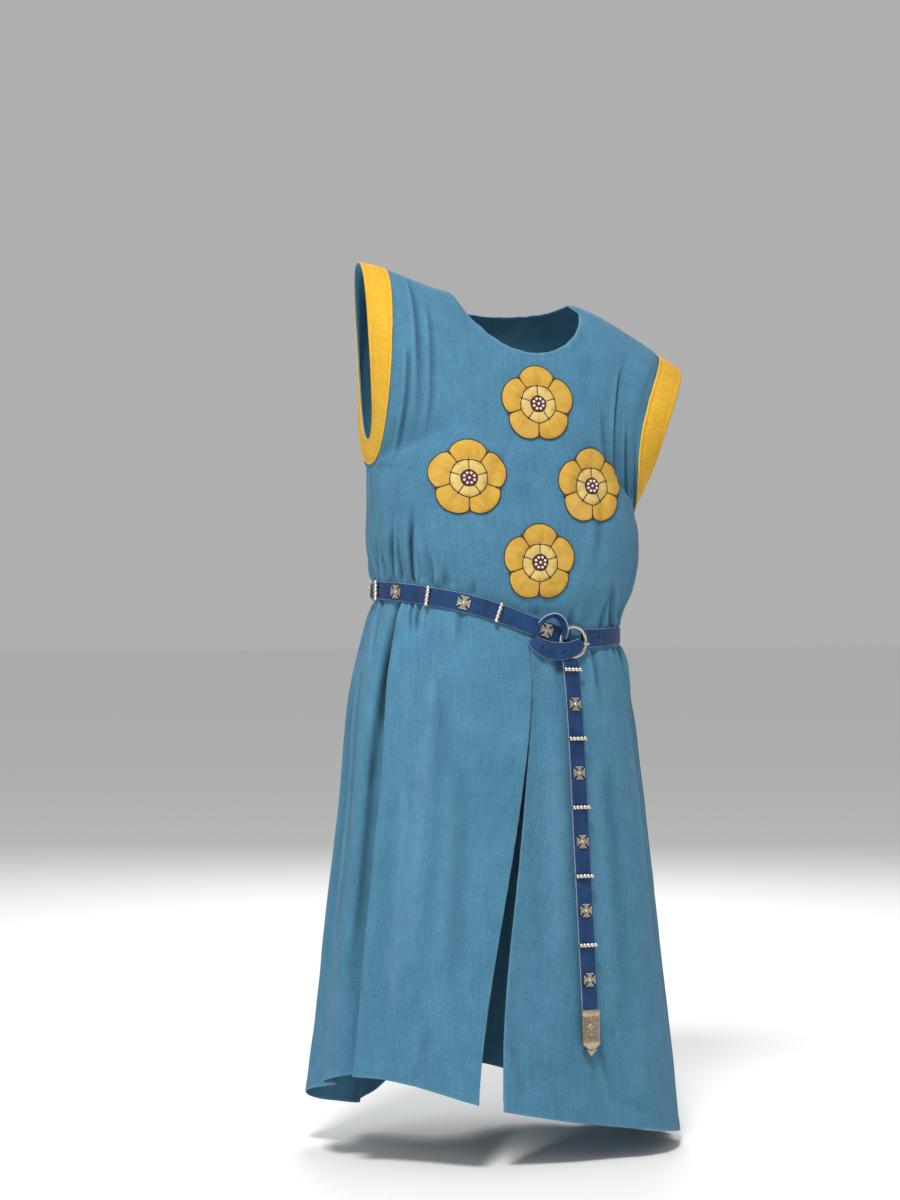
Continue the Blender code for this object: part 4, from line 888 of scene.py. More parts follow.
def piece_from(data, name):
    """New piece from mesh data, which is used up."""
    mesh = bpy.data.meshes.new(name)
    data.to_mesh(mesh)
    data.free()
    piece = bpy.data.objects.new(name, mesh)
    bpy.context.scene.collection.objects.link(piece)
    return piece


def dress(piece, *finishes):
    """Give a piece its finishes, by name."""
    for finish in finishes:
        piece.data.materials.append(bpy.data.materials[finish])


def apply_place():
    bpy.ops.object.transform_apply(location=True, rotation=True, scale=True)


def take(name):
    """The new primitive, alone in the selection and under its own name."""
    piece = bpy.context.active_object
    piece.name = name
    piece.data.name = name
    return piece


class Editing:
    """Edit mode on one piece; pick selects the faces, edges or vertices that pass a test."""

    def __init__(self, piece):
        self.piece = piece

    def __enter__(self):
        choose(self.piece)
        bpy.ops.object.mode_set(mode="EDIT")
        bpy.ops.mesh.select_all(action="DESELECT")
        return self

    def __exit__(self, *error):
        bpy.ops.object.mode_set(mode="OBJECT")

    def pick(self, kind, test):
        bpy.ops.mesh.select_mode(type=kind)
        bpy.ops.mesh.select_all(action="DESELECT")
        data = bmesh.from_edit_mesh(self.piece.data)
        parts = {"VERT": data.verts, "EDGE": data.edges, "FACE": data.faces}[kind]
        for part in parts:
            if test(part):
                part.select_set(True)
        data.select_flush_mode()
        bmesh.update_edit_mesh(self.piece.data)


def finish_modifier(piece, kind, **settings):
    """Add a modifier with its settings and apply it."""
    choose(piece)
    modifier = piece.modifiers.new(kind.lower(), kind)
    for name, value in settings.items():
        setattr(modifier, name, value)
    bpy.ops.object.modifier_apply(modifier=modifier.name)


def join_into(piece, others):
    clear_selection()
    for other in [piece, *others]:
        other.select_set(True)
    bpy.context.view_layer.objects.active = piece
    bpy.ops.object.join()
    return piece


def smooth(piece, angle_deg):
    choose(piece)
    bpy.ops.object.shade_smooth_by_angle(angle=math.radians(angle_deg))


def placed_copy(model, name, middle, along, up, out):
    """Copy of a fitting with its own mesh, its x, y and z turned to three directions."""
    mesh = model.data.copy()
    turn = Matrix((along, up, out)).transposed().to_4x4()
    mesh.transform(Matrix.Translation(middle) @ turn)
    if turn.determinant() < 0:
        mesh.flip_normals()
    mesh.name = name
    piece = bpy.data.objects.new(name, mesh)
    bpy.context.scene.collection.objects.link(piece)
    return piece


def settle(piece, slot_name, *nodes):
    """Put a finished piece on the garment in place of its solids."""
    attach(piece, "root")
    if nodes:
        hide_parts(*nodes)


def mark(piece, name, value_at):
    """Point attribute that a material reads, worked out from each vertex's place."""
    attribute = piece.data.attributes.new(name, "FLOAT", "POINT")
    attribute.data.foreach_set("value", [value_at(v.co) for v in piece.data.vertices])


class Wire:
    """Output of a shader node, on which numbers are worked out as in Python."""

    def __init__(self, finish, socket):
        self.finish = finish
        self.socket = socket

    def math(self, operation, first, second=0.0, clamp=False):
        settings = {"operation": operation, "use_clamp": clamp}
        return self.finish.node("ShaderNodeMath", settings, {0: first, 1: second})

    def __add__(self, other):
        return self.math("ADD", self, other)

    def __radd__(self, other):
        return self.math("ADD", other, self)

    def __sub__(self, other):
        return self.math("SUBTRACT", self, other)

    def __rsub__(self, other):
        return self.math("SUBTRACT", other, self)

    def __mul__(self, other):
        return self.math("MULTIPLY", self, other)

    def __rmul__(self, other):
        return self.math("MULTIPLY", other, self)

    def __truediv__(self, other):
        return self.math("DIVIDE", self, other)

    def __abs__(self):
        return self.math("ABSOLUTE", self)

    def wave(self, length):
        """Sine of a distance, one turn in a length."""
        return self.math("SINE", self * (2 * math.pi / length))

    def clamped(self):
        return self.math("ADD", self, 0.0, clamp=True)

    def between(self, low, high):
        """0 below low, 1 above high and smooth in between."""
        settings = {"interpolation_type": "SMOOTHSTEP"}
        sockets = {"Value": self, "From Min": low, "From Max": high}
        return self.finish.node("ShaderNodeMapRange", settings, sockets)


class Finish:
    """A material made of nodes."""

    def __init__(self, name, **constants):
        self.material = bpy.data.materials.new(name)
        self.material.use_nodes = True
        self.tree = self.material.node_tree
        self.shader = self.tree.nodes["Principled BSDF"]
        for socket, value in constants.items():
            self.shader.inputs[socket.replace("_", " ").title()].default_value = value

    def node(self, kind, settings=None, sockets=None, output=0):
        """Any node: its settings first, then its sockets, each a number, colour or Wire."""
        made = self.tree.nodes.new(kind)
        for name, value in (settings or {}).items():
            if name == "stops":
                for index, (position, colour) in enumerate(value):
                    stops = made.color_ramp.elements
                    stop = stops[index] if index < 2 else stops.new(position)
                    stop.position, stop.color = position, (*colour, 1)
            else:
                setattr(made, name, value)
        for key, value in (sockets or {}).items():
            if isinstance(value, Wire):
                self.tree.links.new(value.socket, made.inputs[key])
            else:
                made.inputs[key].default_value = value
        return Wire(self, made.outputs[output])

    def objects_place(self):
        return self.node("ShaderNodeTexCoord", output=3)

    def grain(self, scale, detail=3.0, rough=0.55, stretch=None, place=None):
        """Noise from 0 to 1; scale is how many grains a metre has."""
        place = place or self.objects_place()
        if stretch:
            place = self.node("ShaderNodeMapping", {}, {"Vector": place, "Scale": stretch})
        sockets = {"Vector": place, "Scale": scale, "Detail": detail, "Roughness": rough}
        return self.node("ShaderNodeTexNoise", {}, sockets)

    def along_cloth(self):
        """Distances across and down a sheet or strap, from its own map."""
        place = self.node("ShaderNodeUVMap", {"uv_map": "lay"})
        split = self.node("ShaderNodeSeparateXYZ", {}, {0: place})
        down = Wire(self, split.socket.node.outputs[1])
        return place, split, down

    def marked(self, name):
        return self.node("ShaderNodeAttribute", {"attribute_name": name}, output=2)

    def blend(self, share, first, second, how="MIX"):
        """Mix of two colours."""
        first, second = (c if isinstance(c, Wire) else (*c, 1) for c in (first, second))
        settings = {"data_type": "RGBA", "blend_type": how}
        return self.node("ShaderNodeMix", settings, {0: share, 6: first, 7: second}, output=2)

    def feed(self, socket, wire):
        self.tree.links.new(wire.socket, self.shader.inputs[socket])

    def relief(self, height, depth, strength=1.0):
        """Bump of a height from 0 to 1 and its real depth in metres."""
        sockets = {"Height": height, "Distance": depth, "Strength": strength}
        self.feed("Normal", self.node("ShaderNodeBump", {}, sockets))


def cloth_finish(name, deep, light, pitch, mottle_share, wear_and_painted_light):
    """Plain weave with a brushed face: threads, slubs and soft mottling; paler turned edges and fold
    ridges, which are wear and a painted highlight, and darker creases, which are painted shade.
    """
    finish = Finish(name, roughness=0.9, sheen_weight=0.05, sheen_roughness=0.5)
    finish.shader.inputs["Specular IOR Level"].default_value = 0.15
    place, across, down = finish.along_cloth()
    slub = finish.grain(1.0, 3.0, 0.6, (300, 26, 1), place)
    weft = finish.grain(1.0, 3.0, 0.6, (26, 300, 1), place)
    mottle = finish.grain(34, 4.0, 0.6)
    patch = finish.grain(7, 2.0, 0.5)
    speck = finish.grain(620, 2.0, 0.7)
    threads = across.wave(pitch) * down.wave(pitch)
    tone = 0.5 + (mottle - 0.5) * (0.55 * mottle_share) + (patch - 0.5) * (0.4 * mottle_share)
    tone = tone + (speck - 0.5) * 1.3 + (slub - 0.5) * 0.6 + (weft - 0.5) * 0.3
    tone = (tone + threads * 0.07).clamped()
    colour = finish.blend(tone, deep, light)
    # The edge mark is signed: below 0 it is a crease's depth, above 0 a turned edge or a fold ridge.
    edge = finish.marked("edge")
    # Painted shade: in creases the colour is darkened towards a quarter of the deep tone, more where the
    # crease is deeper.
    sunk = edge * -1
    fold = (sunk * 0.45 + sunk.between(0.5, 1.1) * 0.42).clamped()
    colour = finish.blend(fold, colour, tuple(0.24 * tone for tone in deep))
    # Wear and painted highlight: at turned edges and fold ridges the colour pales towards the edge tone.
    worn_and_painted_bright = (edge * (0.35 + mottle * 0.6)).clamped()
    finish.feed("Base Color", finish.blend(worn_and_painted_bright, colour, wear_and_painted_light))
    finish.feed("Roughness", 0.84 + speck * 0.12)
    height = threads * 0.22 + speck * 0.8 + slub * 0.5 + weft * 0.4 + mottle * 0.9
    finish.relief(height, 0.00055, 0.55)
    return finish.material


def thread_finish(name, deep, light, pitch, gloss=0.5):
    """Satin-stitched thread: fine parallel lines down the stitch, each a little different."""
    finish = Finish(name, roughness=gloss)
    place, across, down = finish.along_cloth()
    strand = across.wave(pitch)
    uneven = finish.grain(1.0, 2.0, 0.6, (1 / pitch, 40, 1), place)
    broad = finish.grain(60, 3.0)
    tone = (0.45 + strand * 0.22 + (uneven - 0.5) * 0.9 + (broad - 0.5) * 0.7).clamped()
    finish.feed("Base Color", finish.blend(tone, deep, light))
    finish.feed("Roughness", gloss + (uneven - 0.5) * 0.2)
    finish.relief(strand * 0.5 + uneven * 0.5, 0.0004, 0.8)
    return finish.material


def leather_finish(name, deep, light, raw):
    """Dyed strap leather: fine pores, scuffed high spots and pale cut edges."""
    finish = Finish(name, coat_roughness=0.35)
    finish.shader.inputs["Coat Weight"].default_value = 0.06
    finish.shader.inputs["Specular IOR Level"].default_value = 0.32
    place, across, down = finish.along_cloth()
    pores = finish.node("ShaderNodeTexVoronoi", {}, {"Vector": finish.objects_place(), "Scale": 900.0})
    cloud = finish.grain(55, 4.0, 0.6)
    scuff = finish.grain(1.0, 3.0, 0.65, (900, 60, 1), place)
    tone = (0.42 + (cloud - 0.5) * 1.5 + (scuff - 0.5) * 0.5).clamped()
    colour = finish.blend(tone, deep, light)
    edge = finish.marked("edge")
    cut = (edge.between(0.35, 0.9) * (0.45 + cloud * 0.6)).clamped()
    finish.feed("Base Color", finish.blend(cut, colour, raw))
    finish.feed("Roughness", 0.40 + (cloud - 0.5) * 0.3 + scuff * 0.14 + cut * 0.3)
    finish.relief(pores * 0.7 + scuff * 0.3 + cloud * 0.5, 0.00012, 0.5)
    return finish.material


def metal_finish(name, bright, dull, dark, gloss):
    """Old cast metal: polished high spots, dull flats and dark dirt in the hollows."""
    finish = Finish(name, metallic=1.0)
    cloud = finish.grain(260, 4.0, 0.6)
    pits = finish.grain(1500, 2.0, 0.6)
    tone = (0.5 + (cloud - 0.5) * 1.8).clamped()
    colour = finish.blend(tone, dull, bright)
    dirt = (finish.marked("hollow") * (0.7 + cloud * 0.5)).clamped()
    finish.feed("Base Color", finish.blend(dirt, colour, dark))
    finish.feed("Roughness", gloss + (cloud - 0.5) * 0.25 + dirt * 0.3)
    finish.feed("Metallic", 1 - dirt * 0.6)
    finish.relief(cloud * 0.7 + pits * 0.4, 0.00020, 0.6)
    return finish.material


def plain_finish(name, deep, light, gloss, scale, depth):
    """Small solid trim: two tones and a fine grain."""
    finish = Finish(name, roughness=gloss)
    cloud = finish.grain(scale, 3.0, 0.6)
    finish.feed("Base Color", finish.blend((0.5 + (cloud - 0.5) * 1.8).clamped(), deep, light))
    finish.feed("Roughness", gloss + (cloud - 0.5) * 0.2)
    finish.relief(cloud, depth, 0.6)
    return finish.material


def steps_of(stretches):
    """Values of a table of stretches, its first start and the end of every step."""
    values = [float(stretches[0].start)]
    for start, end, steps in stretches:
        values += [start + (end - start) * (n + 1) / steps for n in range(steps)]
    return values


def sheet_piece(name, grids, outward, wall):
    """Sheet of cloth from grids of (point, u, v, edge); equal points are one vertex. The wall
    is laid behind the given face; along a seam it keeps to the seam's plane."""
    data = bmesh.new()
    lay = data.loops.layers.uv.new("lay")
    # Per-vertex edge mark for the finishes: on the cloth, wear with a painted highlight at edges and
    # ridges, and painted shade in creases.
    edge_mark = data.verts.layers.float.new("edge")
    made, where = {}, {}
    for grid in grids:
        rows = []
        for line in grid:
            row = []
            for point, u, v, edge in line:
                key = tuple(round(c, 6) for c in point)
                if key not in made:
                    made[key] = data.verts.new(point)
                    made[key][edge_mark] = edge
                    where[made[key]] = (u, v)
                row.append(made[key])
            rows.append(row)
        for upper, lower in zip(rows, rows[1:]):
            for n in range(len(upper) - 1):
                corners = []
                for vertex in (upper[n], upper[n + 1], lower[n + 1], lower[n]):
                    if vertex not in corners:
                        corners.append(vertex)
                if len(corners) > 2 and not data.faces.get(corners):
                    data.faces.new(corners)
    bmesh.ops.recalc_face_normals(data, faces=data.faces)
    largest = max(data.faces, key=lambda face: face.calc_area())
    if largest.normal.dot(outward(largest.calc_center_median())) < 0:
        bmesh.ops.reverse_faces(data, faces=data.faces)
    data.normal_update()
    faces, borders = list(data.faces), [edge for edge in data.edges if edge.is_boundary]
    behind = {}
    for vertex in list(data.verts):
        direction = vertex.normal.copy()
        if abs(vertex.co.y) < SEAM_HALF_GAP * 1.2:
            direction.y = 0
        behind[vertex] = data.verts.new(vertex.co - direction.normalized() * wall)
        behind[vertex][edge_mark] = vertex[edge_mark]
        where[behind[vertex]] = where[vertex]
    for face in faces:
        data.faces.new([behind[vertex] for vertex in reversed(face.verts)])
    for border in borders:
        face = border.link_faces[0]
        loop = next(l for l in face.loops if l.edge == border)
        first, second = loop.vert, loop.link_loop_next.vert
        data.faces.new((second, first, behind[first], behind[second]))
    for face in data.faces:
        face.smooth = True
        for loop in face.loops:
            loop[lay].uv = where[loop.vert]
    return piece_from(data, name)


def loft_piece(name, stations, closed=False):
    """Tube or strap through stations, each a ring of (point, u, edge); the last value of a
    station is its distance along. Ends are closed with a fan."""
    data = bmesh.new()
    lay = data.loops.layers.uv.new("lay")
    edge_mark = data.verts.layers.float.new("edge")
    rings, where = [], {}
    for ring, distance in stations:
        made = []
        for point, u, edge in ring:
            vertex = data.verts.new(point)
            vertex[edge_mark] = edge
            where[vertex] = (u, distance)
            made.append(vertex)
        rings.append(made)
    count = len(rings[0])
    pairs = list(zip(rings, rings[1:])) + ([(rings[-1], rings[0])] if closed else [])
    for first, second in pairs:
        for n in range(count):
            m = (n + 1) % count
            data.faces.new((first[n], first[m], second[m], second[n]))
    if not closed:
        data.faces.new(rings[0][::-1])
        data.faces.new(rings[-1])
    bmesh.ops.recalc_face_normals(data, faces=data.faces)
    for face in data.faces:
        face.smooth = True
        for loop in face.loops:
            loop[lay].uv = where[loop.vert]
    return piece_from(data, name)


def cord_mesh(name, points, radius, sides, closed=False):
    """Thin laid cord through points."""
    stations, gone = [], 0.0
    count = len(points)
    for n, point in enumerate(points):
        before = points[(n - 1) % count] if closed or n else point
        after = points[(n + 1) % count] if closed or n < count - 1 else point
        along = (after - before).normalized()
        side = along.cross(Vector((0, 1, 0))).normalized()
        rise = side.cross(along)
        gone += (point - before).length if n else 0.0
        ring = []
        for k in range(sides):
            turn = 2 * math.pi * k / sides
            place = point + (side * math.cos(turn) + rise * math.sin(turn)) * radius
            ring.append((place, radius * turn + gone * 0.8, 0.0))
        stations.append((ring, gone))
    return loft_piece(name, stations, closed)


def stitches_piece(name, rows):
    """Rows of single stitches; a row is a list of (point, normal) a little apart."""
    data = bmesh.new()
    for row in rows:
        gone, next_start = 0.0, 0.0
        for (here, normal), (there, _) in zip(row, row[1:]):
            step = (there - here).length
            while next_start < gone + step and step > 0:
                start = here.lerp(there, (next_start - gone) / step)
                along = (there - here).normalized()
                add_stitch(data, start, along, normal)
                next_start += STITCH_PITCH
            gone += step
    return piece_from(data, name)


def add_stitch(data, start, along, normal):
    """One stitch: a short thread, thick in the middle and sunk at both ends."""
    side = along.cross(normal).normalized()
    ends = [data.verts.new(start - normal * STITCH_RADIUS)]
    rings = []
    for share in (0.25, 0.75):
        middle = start + along * STITCH_LENGTH * share + normal * STITCH_RADIUS * 0.5
        rings.append([
            data.verts.new(middle + (side * across + normal * rise) * STITCH_RADIUS)
            for across, rise in ((1, 0), (0, 1), (-1, 0), (0, -1))
        ])
    ends.append(data.verts.new(start + along * STITCH_LENGTH - normal * STITCH_RADIUS))
    faces = []
    for n in range(4):
        m = (n + 1) % 4
        faces.append(data.faces.new((ends[0], rings[0][n], rings[0][m])))
        faces.append(data.faces.new((rings[0][n], rings[1][n], rings[1][m], rings[0][m])))
        faces.append(data.faces.new((rings[1][n], ends[1], rings[1][m])))
    bmesh.ops.recalc_face_normals(data, faces=faces)
    for face in faces:
        face.smooth = True


def flap_point(share, height, side):
    """Plain face of the front on the wearer's right flap (-1) or left flap (1)."""
    point = front_point(share, height)
    slit_start = BELT_LEVEL - SLIT_TOP
    if height >= slit_start:
        return point
    near = max(0.0, 1 - abs(share) / SLIT_REACH)
    lap = SLIT_LAP * near**2 * ease((slit_start - height) / SLIT_GROWS_IN)
    lap *= 1 if side < 0 else LEFT_LAP_SHARE
    hang = LEFT_FLAP_DROP * near * ease((slit_start - height) / HEM_REACH) if side > 0 else 0
    return point + Vector((slit_gap(height) / 2 * near**2 * side, -lap, -hang))


def crease_relief(angle_deg, travel):
    """Depth of the fine creases at a place of the cloth."""
    depth = 0.0
    for crease in CREASES:
        across = ((angle_deg - crease.angle + 180) % 360 - 180) * METRES_PER_DEGREE
        if abs(across) > 0.07:
            continue
        run = ((crease.end_angle - crease.angle + 180) % 360 - 180) * METRES_PER_DEGREE
        climb = crease.end_travel - crease.travel
        length = math.hypot(run, climb)
        rise = travel - crease.travel
        along = (across * run + rise * climb) / length**2
        off = (across * climb - rise * run) / length / crease.width
        if -0.15 < along < 1 and abs(off) < 4:
            fade = ease((along + 0.15) / 0.2) * (1 - ease((along - 0.4) / 0.6))
            lip = 0.42 * math.exp(-((off - 1.9) ** 2))
            depth += crease.depth * fade * (math.exp(-off * off) - lip)
    pressed = math.exp(-((travel / FINE_FLAT) ** 6))
    return depth * (1 - pressed)


def uneven_relief(point):
    """Soft unevenness of well-used cloth, longer down the garment than across it."""
    place = Vector((point.x, point.y, point.z * 0.45)) / UNEVEN_WIDE
    return UNEVEN_DEPTH * noise.noise(place) + UNEVEN_DEPTH * 0.4 * noise.noise(place * 2.7)


def turned_relief(distance, width):
    """Rise of a turned edge and the dent of its stitches, by the distance from the edge."""
    rise = TURN_RISE * (1 - ease((distance - width + 0.0008) / 0.0016))
    return rise - 0.0005 * math.exp(-(((distance - width + STITCH_IN) / 0.0009) ** 2))


def pucker_relief(distance, along):
    """Small puckers that a row of stitches draws into the cloth."""
    size = PUCKER_DEPTH * math.exp(-((distance / PUCKER_REACH) ** 2))
    return size * noise.noise(Vector((along / PUCKER_WIDE, distance / 0.05, 4.2)))


def patch_relief(point):
    """Dent and puckers in the chest round each stitched rose."""
    depth = 0.0
    if point.y < 0 and point.z > -0.46:
        for rose in ROSES:
            gone = math.hypot(point.x - rose.x, point.z - rose.z)
            if gone < ROSE_RADIUS * 1.6:
                turn = math.atan2(point.x - rose.x, point.z - rose.z)
                depth -= 0.0006 * math.exp(-(((gone - ROSE_RADIUS - 0.002) / 0.004) ** 2))
                ripple = noise.noise(Vector((math.cos(turn) * 3.5, math.sin(turn) * 3.5, rose.x)))
                depth += 0.0012 * ripple * math.exp(-(((gone - ROSE_RADIUS) / 0.012) ** 2))
    return depth


class Panel:
    """Front or back of the garment, which can be asked for any point of its fine face."""

    def __init__(self, is_front):
        self.is_front = is_front
        self.hem = RINGS[-1].level
        self.base = RINGS[0].level

    def face(self, share, height, side):
        return flap_point(share, height, side) if self.is_front else back_point(share, height)

    def level(self, travel):
        """Height of a travel, the other way round than travel()."""
        over = travel - (self.base - BELT_LEVEL)
        return self.base + (over / YOKE_TRAVEL if over > 0 else over)

    def plain(self, share, height, side):
        """Plain face, smoothed over the line where the chest meets the armholes' lower ends."""
        point = self.face(share, height, side)
        travel = self.travel(height)
        off = abs(travel - (self.base - BELT_LEVEL)) / BASE_SOFT
        near = (1 - ease(off)) * ease((1 - abs(share)) / 0.10)
        if near <= 0:
            return point
        total = Vector((0, 0, 0))
        for step in range(-3, 4):
            total += self.face(share, self.level(travel + step * BASE_SOFT / 3), side)
        return point.lerp(total / 7, near)

    def angle_deg(self, share, height):
        if not self.is_front:
            return -90 - (share + 1) * 90
        return math.degrees(front_angle(share, min(height, self.base)))

    def travel(self, height):
        if height <= self.base:
            return height - BELT_LEVEL
        return self.base - BELT_LEVEL + (height - self.base) * YOKE_TRAVEL

    def outward(self, share, height, side):
        here = self.plain(share, height, side)
        step = 0.004 if share < 0.5 else -0.004
        rise = 0.004 if height < self.base + 0.9 else -0.004
        if self.is_front and share * (share + step) < 0 or share == 0 and side < 0:
            step = -step
        beside = self.plain(share + step, height, side) - here
        above = self.plain(share, height + rise, side) - here
        normal = beside.cross(above) * (step * rise)
        normal = normal if self.is_front else -normal
        return normal.normalized() if normal.length > 1e-12 else Vector((0, 0, 1))

    def hold(self, share, height):
        """0 where the panel has to meet the armhole's strip and the shoulder seam, else 1."""
        inner = ease((1 - abs(share)) / 0.05)
        if height <= self.base:
            return 1 - (1 - inner) * (1 - ease((self.base - height) / 0.02))
        return inner * ease((self.base + 1 - height) / 0.04)

    def neck_distance(self, point):
        """Distance from the neckline, and how much of the turned edge there is at this x."""
        step = 0.001
        slope = (top_height(point.x + step, self.is_front) - top_height(point.x, self.is_front))
        steep = math.hypot(1, slope / step)
        here = 1 - ease((abs(point.x) - NECK_HALF_WIDTH + 0.006) / 0.005)
        return (top_height(point.x, self.is_front) - point.z) / steep, here

    def spot(self, share, height, side):
        """Point of the fine face with its place in the cloth's map and its edge mark: wear with a painted
        highlight at turned edges and fold ridges, and painted shade in creases.
        """
        point = self.plain(share, height, side)
        travel = self.travel(height)
        angle_deg = self.angle_deg(share, height)
        hold = self.hold(share, height)
        creased = crease_relief(angle_deg, travel) * hold
        depth = creased + uneven_relief(point) * hold
        depth += patch_relief(point) * hold if self.is_front else 0.0
        # Mark that the cloth's finish reads: paler at turned edges, wear with a painted highlight.
        wear_and_painted_light = 0.0
        around = angle_deg * METRES_PER_DEGREE * 1.3
        if height < self.hem + 0.08:
            above = height - self.hem
            depth += turned_relief(above, TURN_HEM) + pucker_relief(above, around)
            wear_and_painted_light = max(wear_and_painted_light, math.exp(-((above / 0.0022) ** 2)))
        if self.is_front and height < BELT_LEVEL - SLIT_TOP:
            gone = (point - self.plain(0.0, height, side)).length
            if gone < 0.08:
                low = ease((BELT_LEVEL - SLIT_TOP - height) / 0.03)
                depth += (turned_relief(gone, TURN_SLIT) + pucker_relief(gone, travel)) * low
                wear_and_painted_light = max(wear_and_painted_light, 0.9 * low * math.exp(-((gone / 0.0020) ** 2)))
        if height > self.base + 0.5 and abs(point.x) < NECK_HALF_WIDTH + 0.01:
            below, here = self.neck_distance(point)
            if below < 0.06:
                ripple = pucker_relief(below, point.x * 1.5)
                depth += (turned_relief(below, TURN_NECK) + ripple) * here
                wear_and_painted_light = max(wear_and_painted_light, 0.8 * here * math.exp(-((below / 0.0022) ** 2)))
        if self.is_front and height <= self.base and abs(share) > 0.9:
            edge = self.plain(math.copysign(1.0, share), height, side)
            gone = (point - edge).length
            depth += turned_relief(gone, TURN_SEAM) * ease((self.base - height) / 0.02)
            wear_and_painted_light = max(wear_and_painted_light, 0.35 * math.exp(-((gone / 0.0020) ** 2)))
        # Away from the turned edges the mark follows the creases: up to 0.3 on their ridges, wear with a
        # painted highlight, and below 0 in their troughs, painted shade.
        if wear_and_painted_light < 0.1:
            wear_and_painted_light = max(min(creased * 130, 0.30), -1.0)
        if depth:
            normal = self.outward(share, height, side)
            if abs(point.y) < SEAM_HALF_GAP * 1.2:
                normal = Vector((normal.x, 0, normal.z))
            point = point + normal * depth
        ring = ring_at(min(height, self.base))
        girth = math.pi / 4 * (ring.half_width + (ring.front if self.is_front else ring.back))
        return point, share * girth, travel, wear_and_painted_light

    def grid(self, shares, heights, side):
        return [[self.spot(share, height, side) for share in shares] for height in heights]

    def strip_grids(self):
        """Cloth under both armhole bands, from the band's border to the free edge."""
        turn = 1 if self.is_front else -1
        grids = []
        for side in ("right", "left"):
            border, edge = armhole(side, "border"), armhole(side, "edge")
            rows = []
            for n in range(YOKE_FINE + 1):
                up = (1 - math.cos(math.pi * n / YOKE_FINE)) / 2
                phi = turn * math.acos(2 * up - 1)
                inner, outer = armhole_point(border, phi), armhole_point(edge, phi)
                nudge = Vector((0, -SEAM_HALF_GAP * turn, 0)) if n in (0, YOKE_FINE) else Vector()
                rows.append([
                    (inner.lerp(outer, k / STRIP_FINE) + nudge, 0.4 + 0.01 * k, up * 0.25, 0.0)
                    for k in range(STRIP_FINE + 1)
                ])
            grids.append(rows)
        return grids

    def stitch_line(self, places):
        """Points and normals of a row of stitches through (share, height, side) places."""
        row = []
        for share, height, side in places:
            point, _, _, _ = self.spot(share, height, side)
            row.append((point, self.outward(share, height, side)))
        return row


def seam_stitches(panel):
    """Rows of stitches of a panel: hem, neckline, and on the front the slit and side seams."""
    hem = panel.hem + TURN_HEM - STITCH_IN
    fine = [n / 150 for n in range(151)]
    rows = []
    if panel.is_front:
        for side in (-1, 1):
            rows.append(panel.stitch_line([(side * (0.012 + 0.98 * t), hem, side) for t in fine]))
            level = [BELT_LEVEL - SLIT_TOP - 0.02 - t * 0.63 for t in fine]
            places = []
            for height in level:
                here = panel.plain(0.0, height, side)
                reach = (panel.plain(0.03 * side, height, side) - here).length / 0.03
                places.append((side * (TURN_SLIT - STITCH_IN) / reach, height, side))
            rows.append(panel.stitch_line(places))
            places = []
            for t in fine:
                height = panel.base - 0.012 - t * 0.835
                if abs(height - BELT_LEVEL) < 0.018:
                    continue
                edge = panel.plain(side * 1.0, height, side)
                reach = (panel.plain(side * 0.97, height, side) - edge).length / 0.03
                places.append((side * (1 - (TURN_SEAM - STITCH_IN) / reach), height, side))
            rows.append(panel.stitch_line(places))
    else:
        rows.append(panel.stitch_line([(-0.992 + 1.984 * t, hem, 0) for t in fine]))
    neck = []
    for n in range(121):
        share = -0.62 + 1.24 * n / 120
        point = panel.plain(share, panel.base + 0.999, 1)
        below = panel.plain(share, panel.base + 0.90, 1)
        if abs(point.x) > NECK_HALF_WIDTH - 0.006:
            continue
        steep = math.hypot(1, (top_height(point.x + 0.001, panel.is_front)
                               - top_height(point.x, panel.is_front)) / 0.001)
        fall = (point.z - below.z) / 0.099
        up = 1 - (TURN_NECK - STITCH_IN) * steep / fall
        neck.append((share, panel.base + max(up, 0.85), 1))
    rows.append(panel.stitch_line(neck))
    return rows


def make_panel(panel, name, settings):
    heights_up = [panel.base + (1 - math.cos(math.pi * n / YOKE_FINE)) / 2 for n in range(YOKE_FINE, 0, -1)]
    levels = steps_of(SKIRT_LEVELS)
    if panel.is_front:
        shares = [angle / 90 for angle in steps_of(FRONT_COLUMNS)]
        right = [share for share in shares if share <= 0]
        left = [share for share in shares if share >= 0]
        slit_start = BELT_LEVEL - SLIT_TOP
        top = [level for level in levels if level >= slit_start - 1e-9]
        low = [level for level in levels if level <= slit_start + 1e-9]
        grids = [
            panel.grid(shares, heights_up + top, 1),
            panel.grid(right, low, -1),
            panel.grid(left, low, 1),
        ]
    else:
        shares = [angle / 90 for angle in steps_of(BACK_COLUMNS)]
        grids = [panel.grid(shares, heights_up + levels, 0)]
    grids += panel.strip_grids()
    piece = sheet_piece(name, grids, lambda p: Vector((p.x, p.y, 0)), settings.wall)
    dress(piece, "blue_canvas")
    return piece


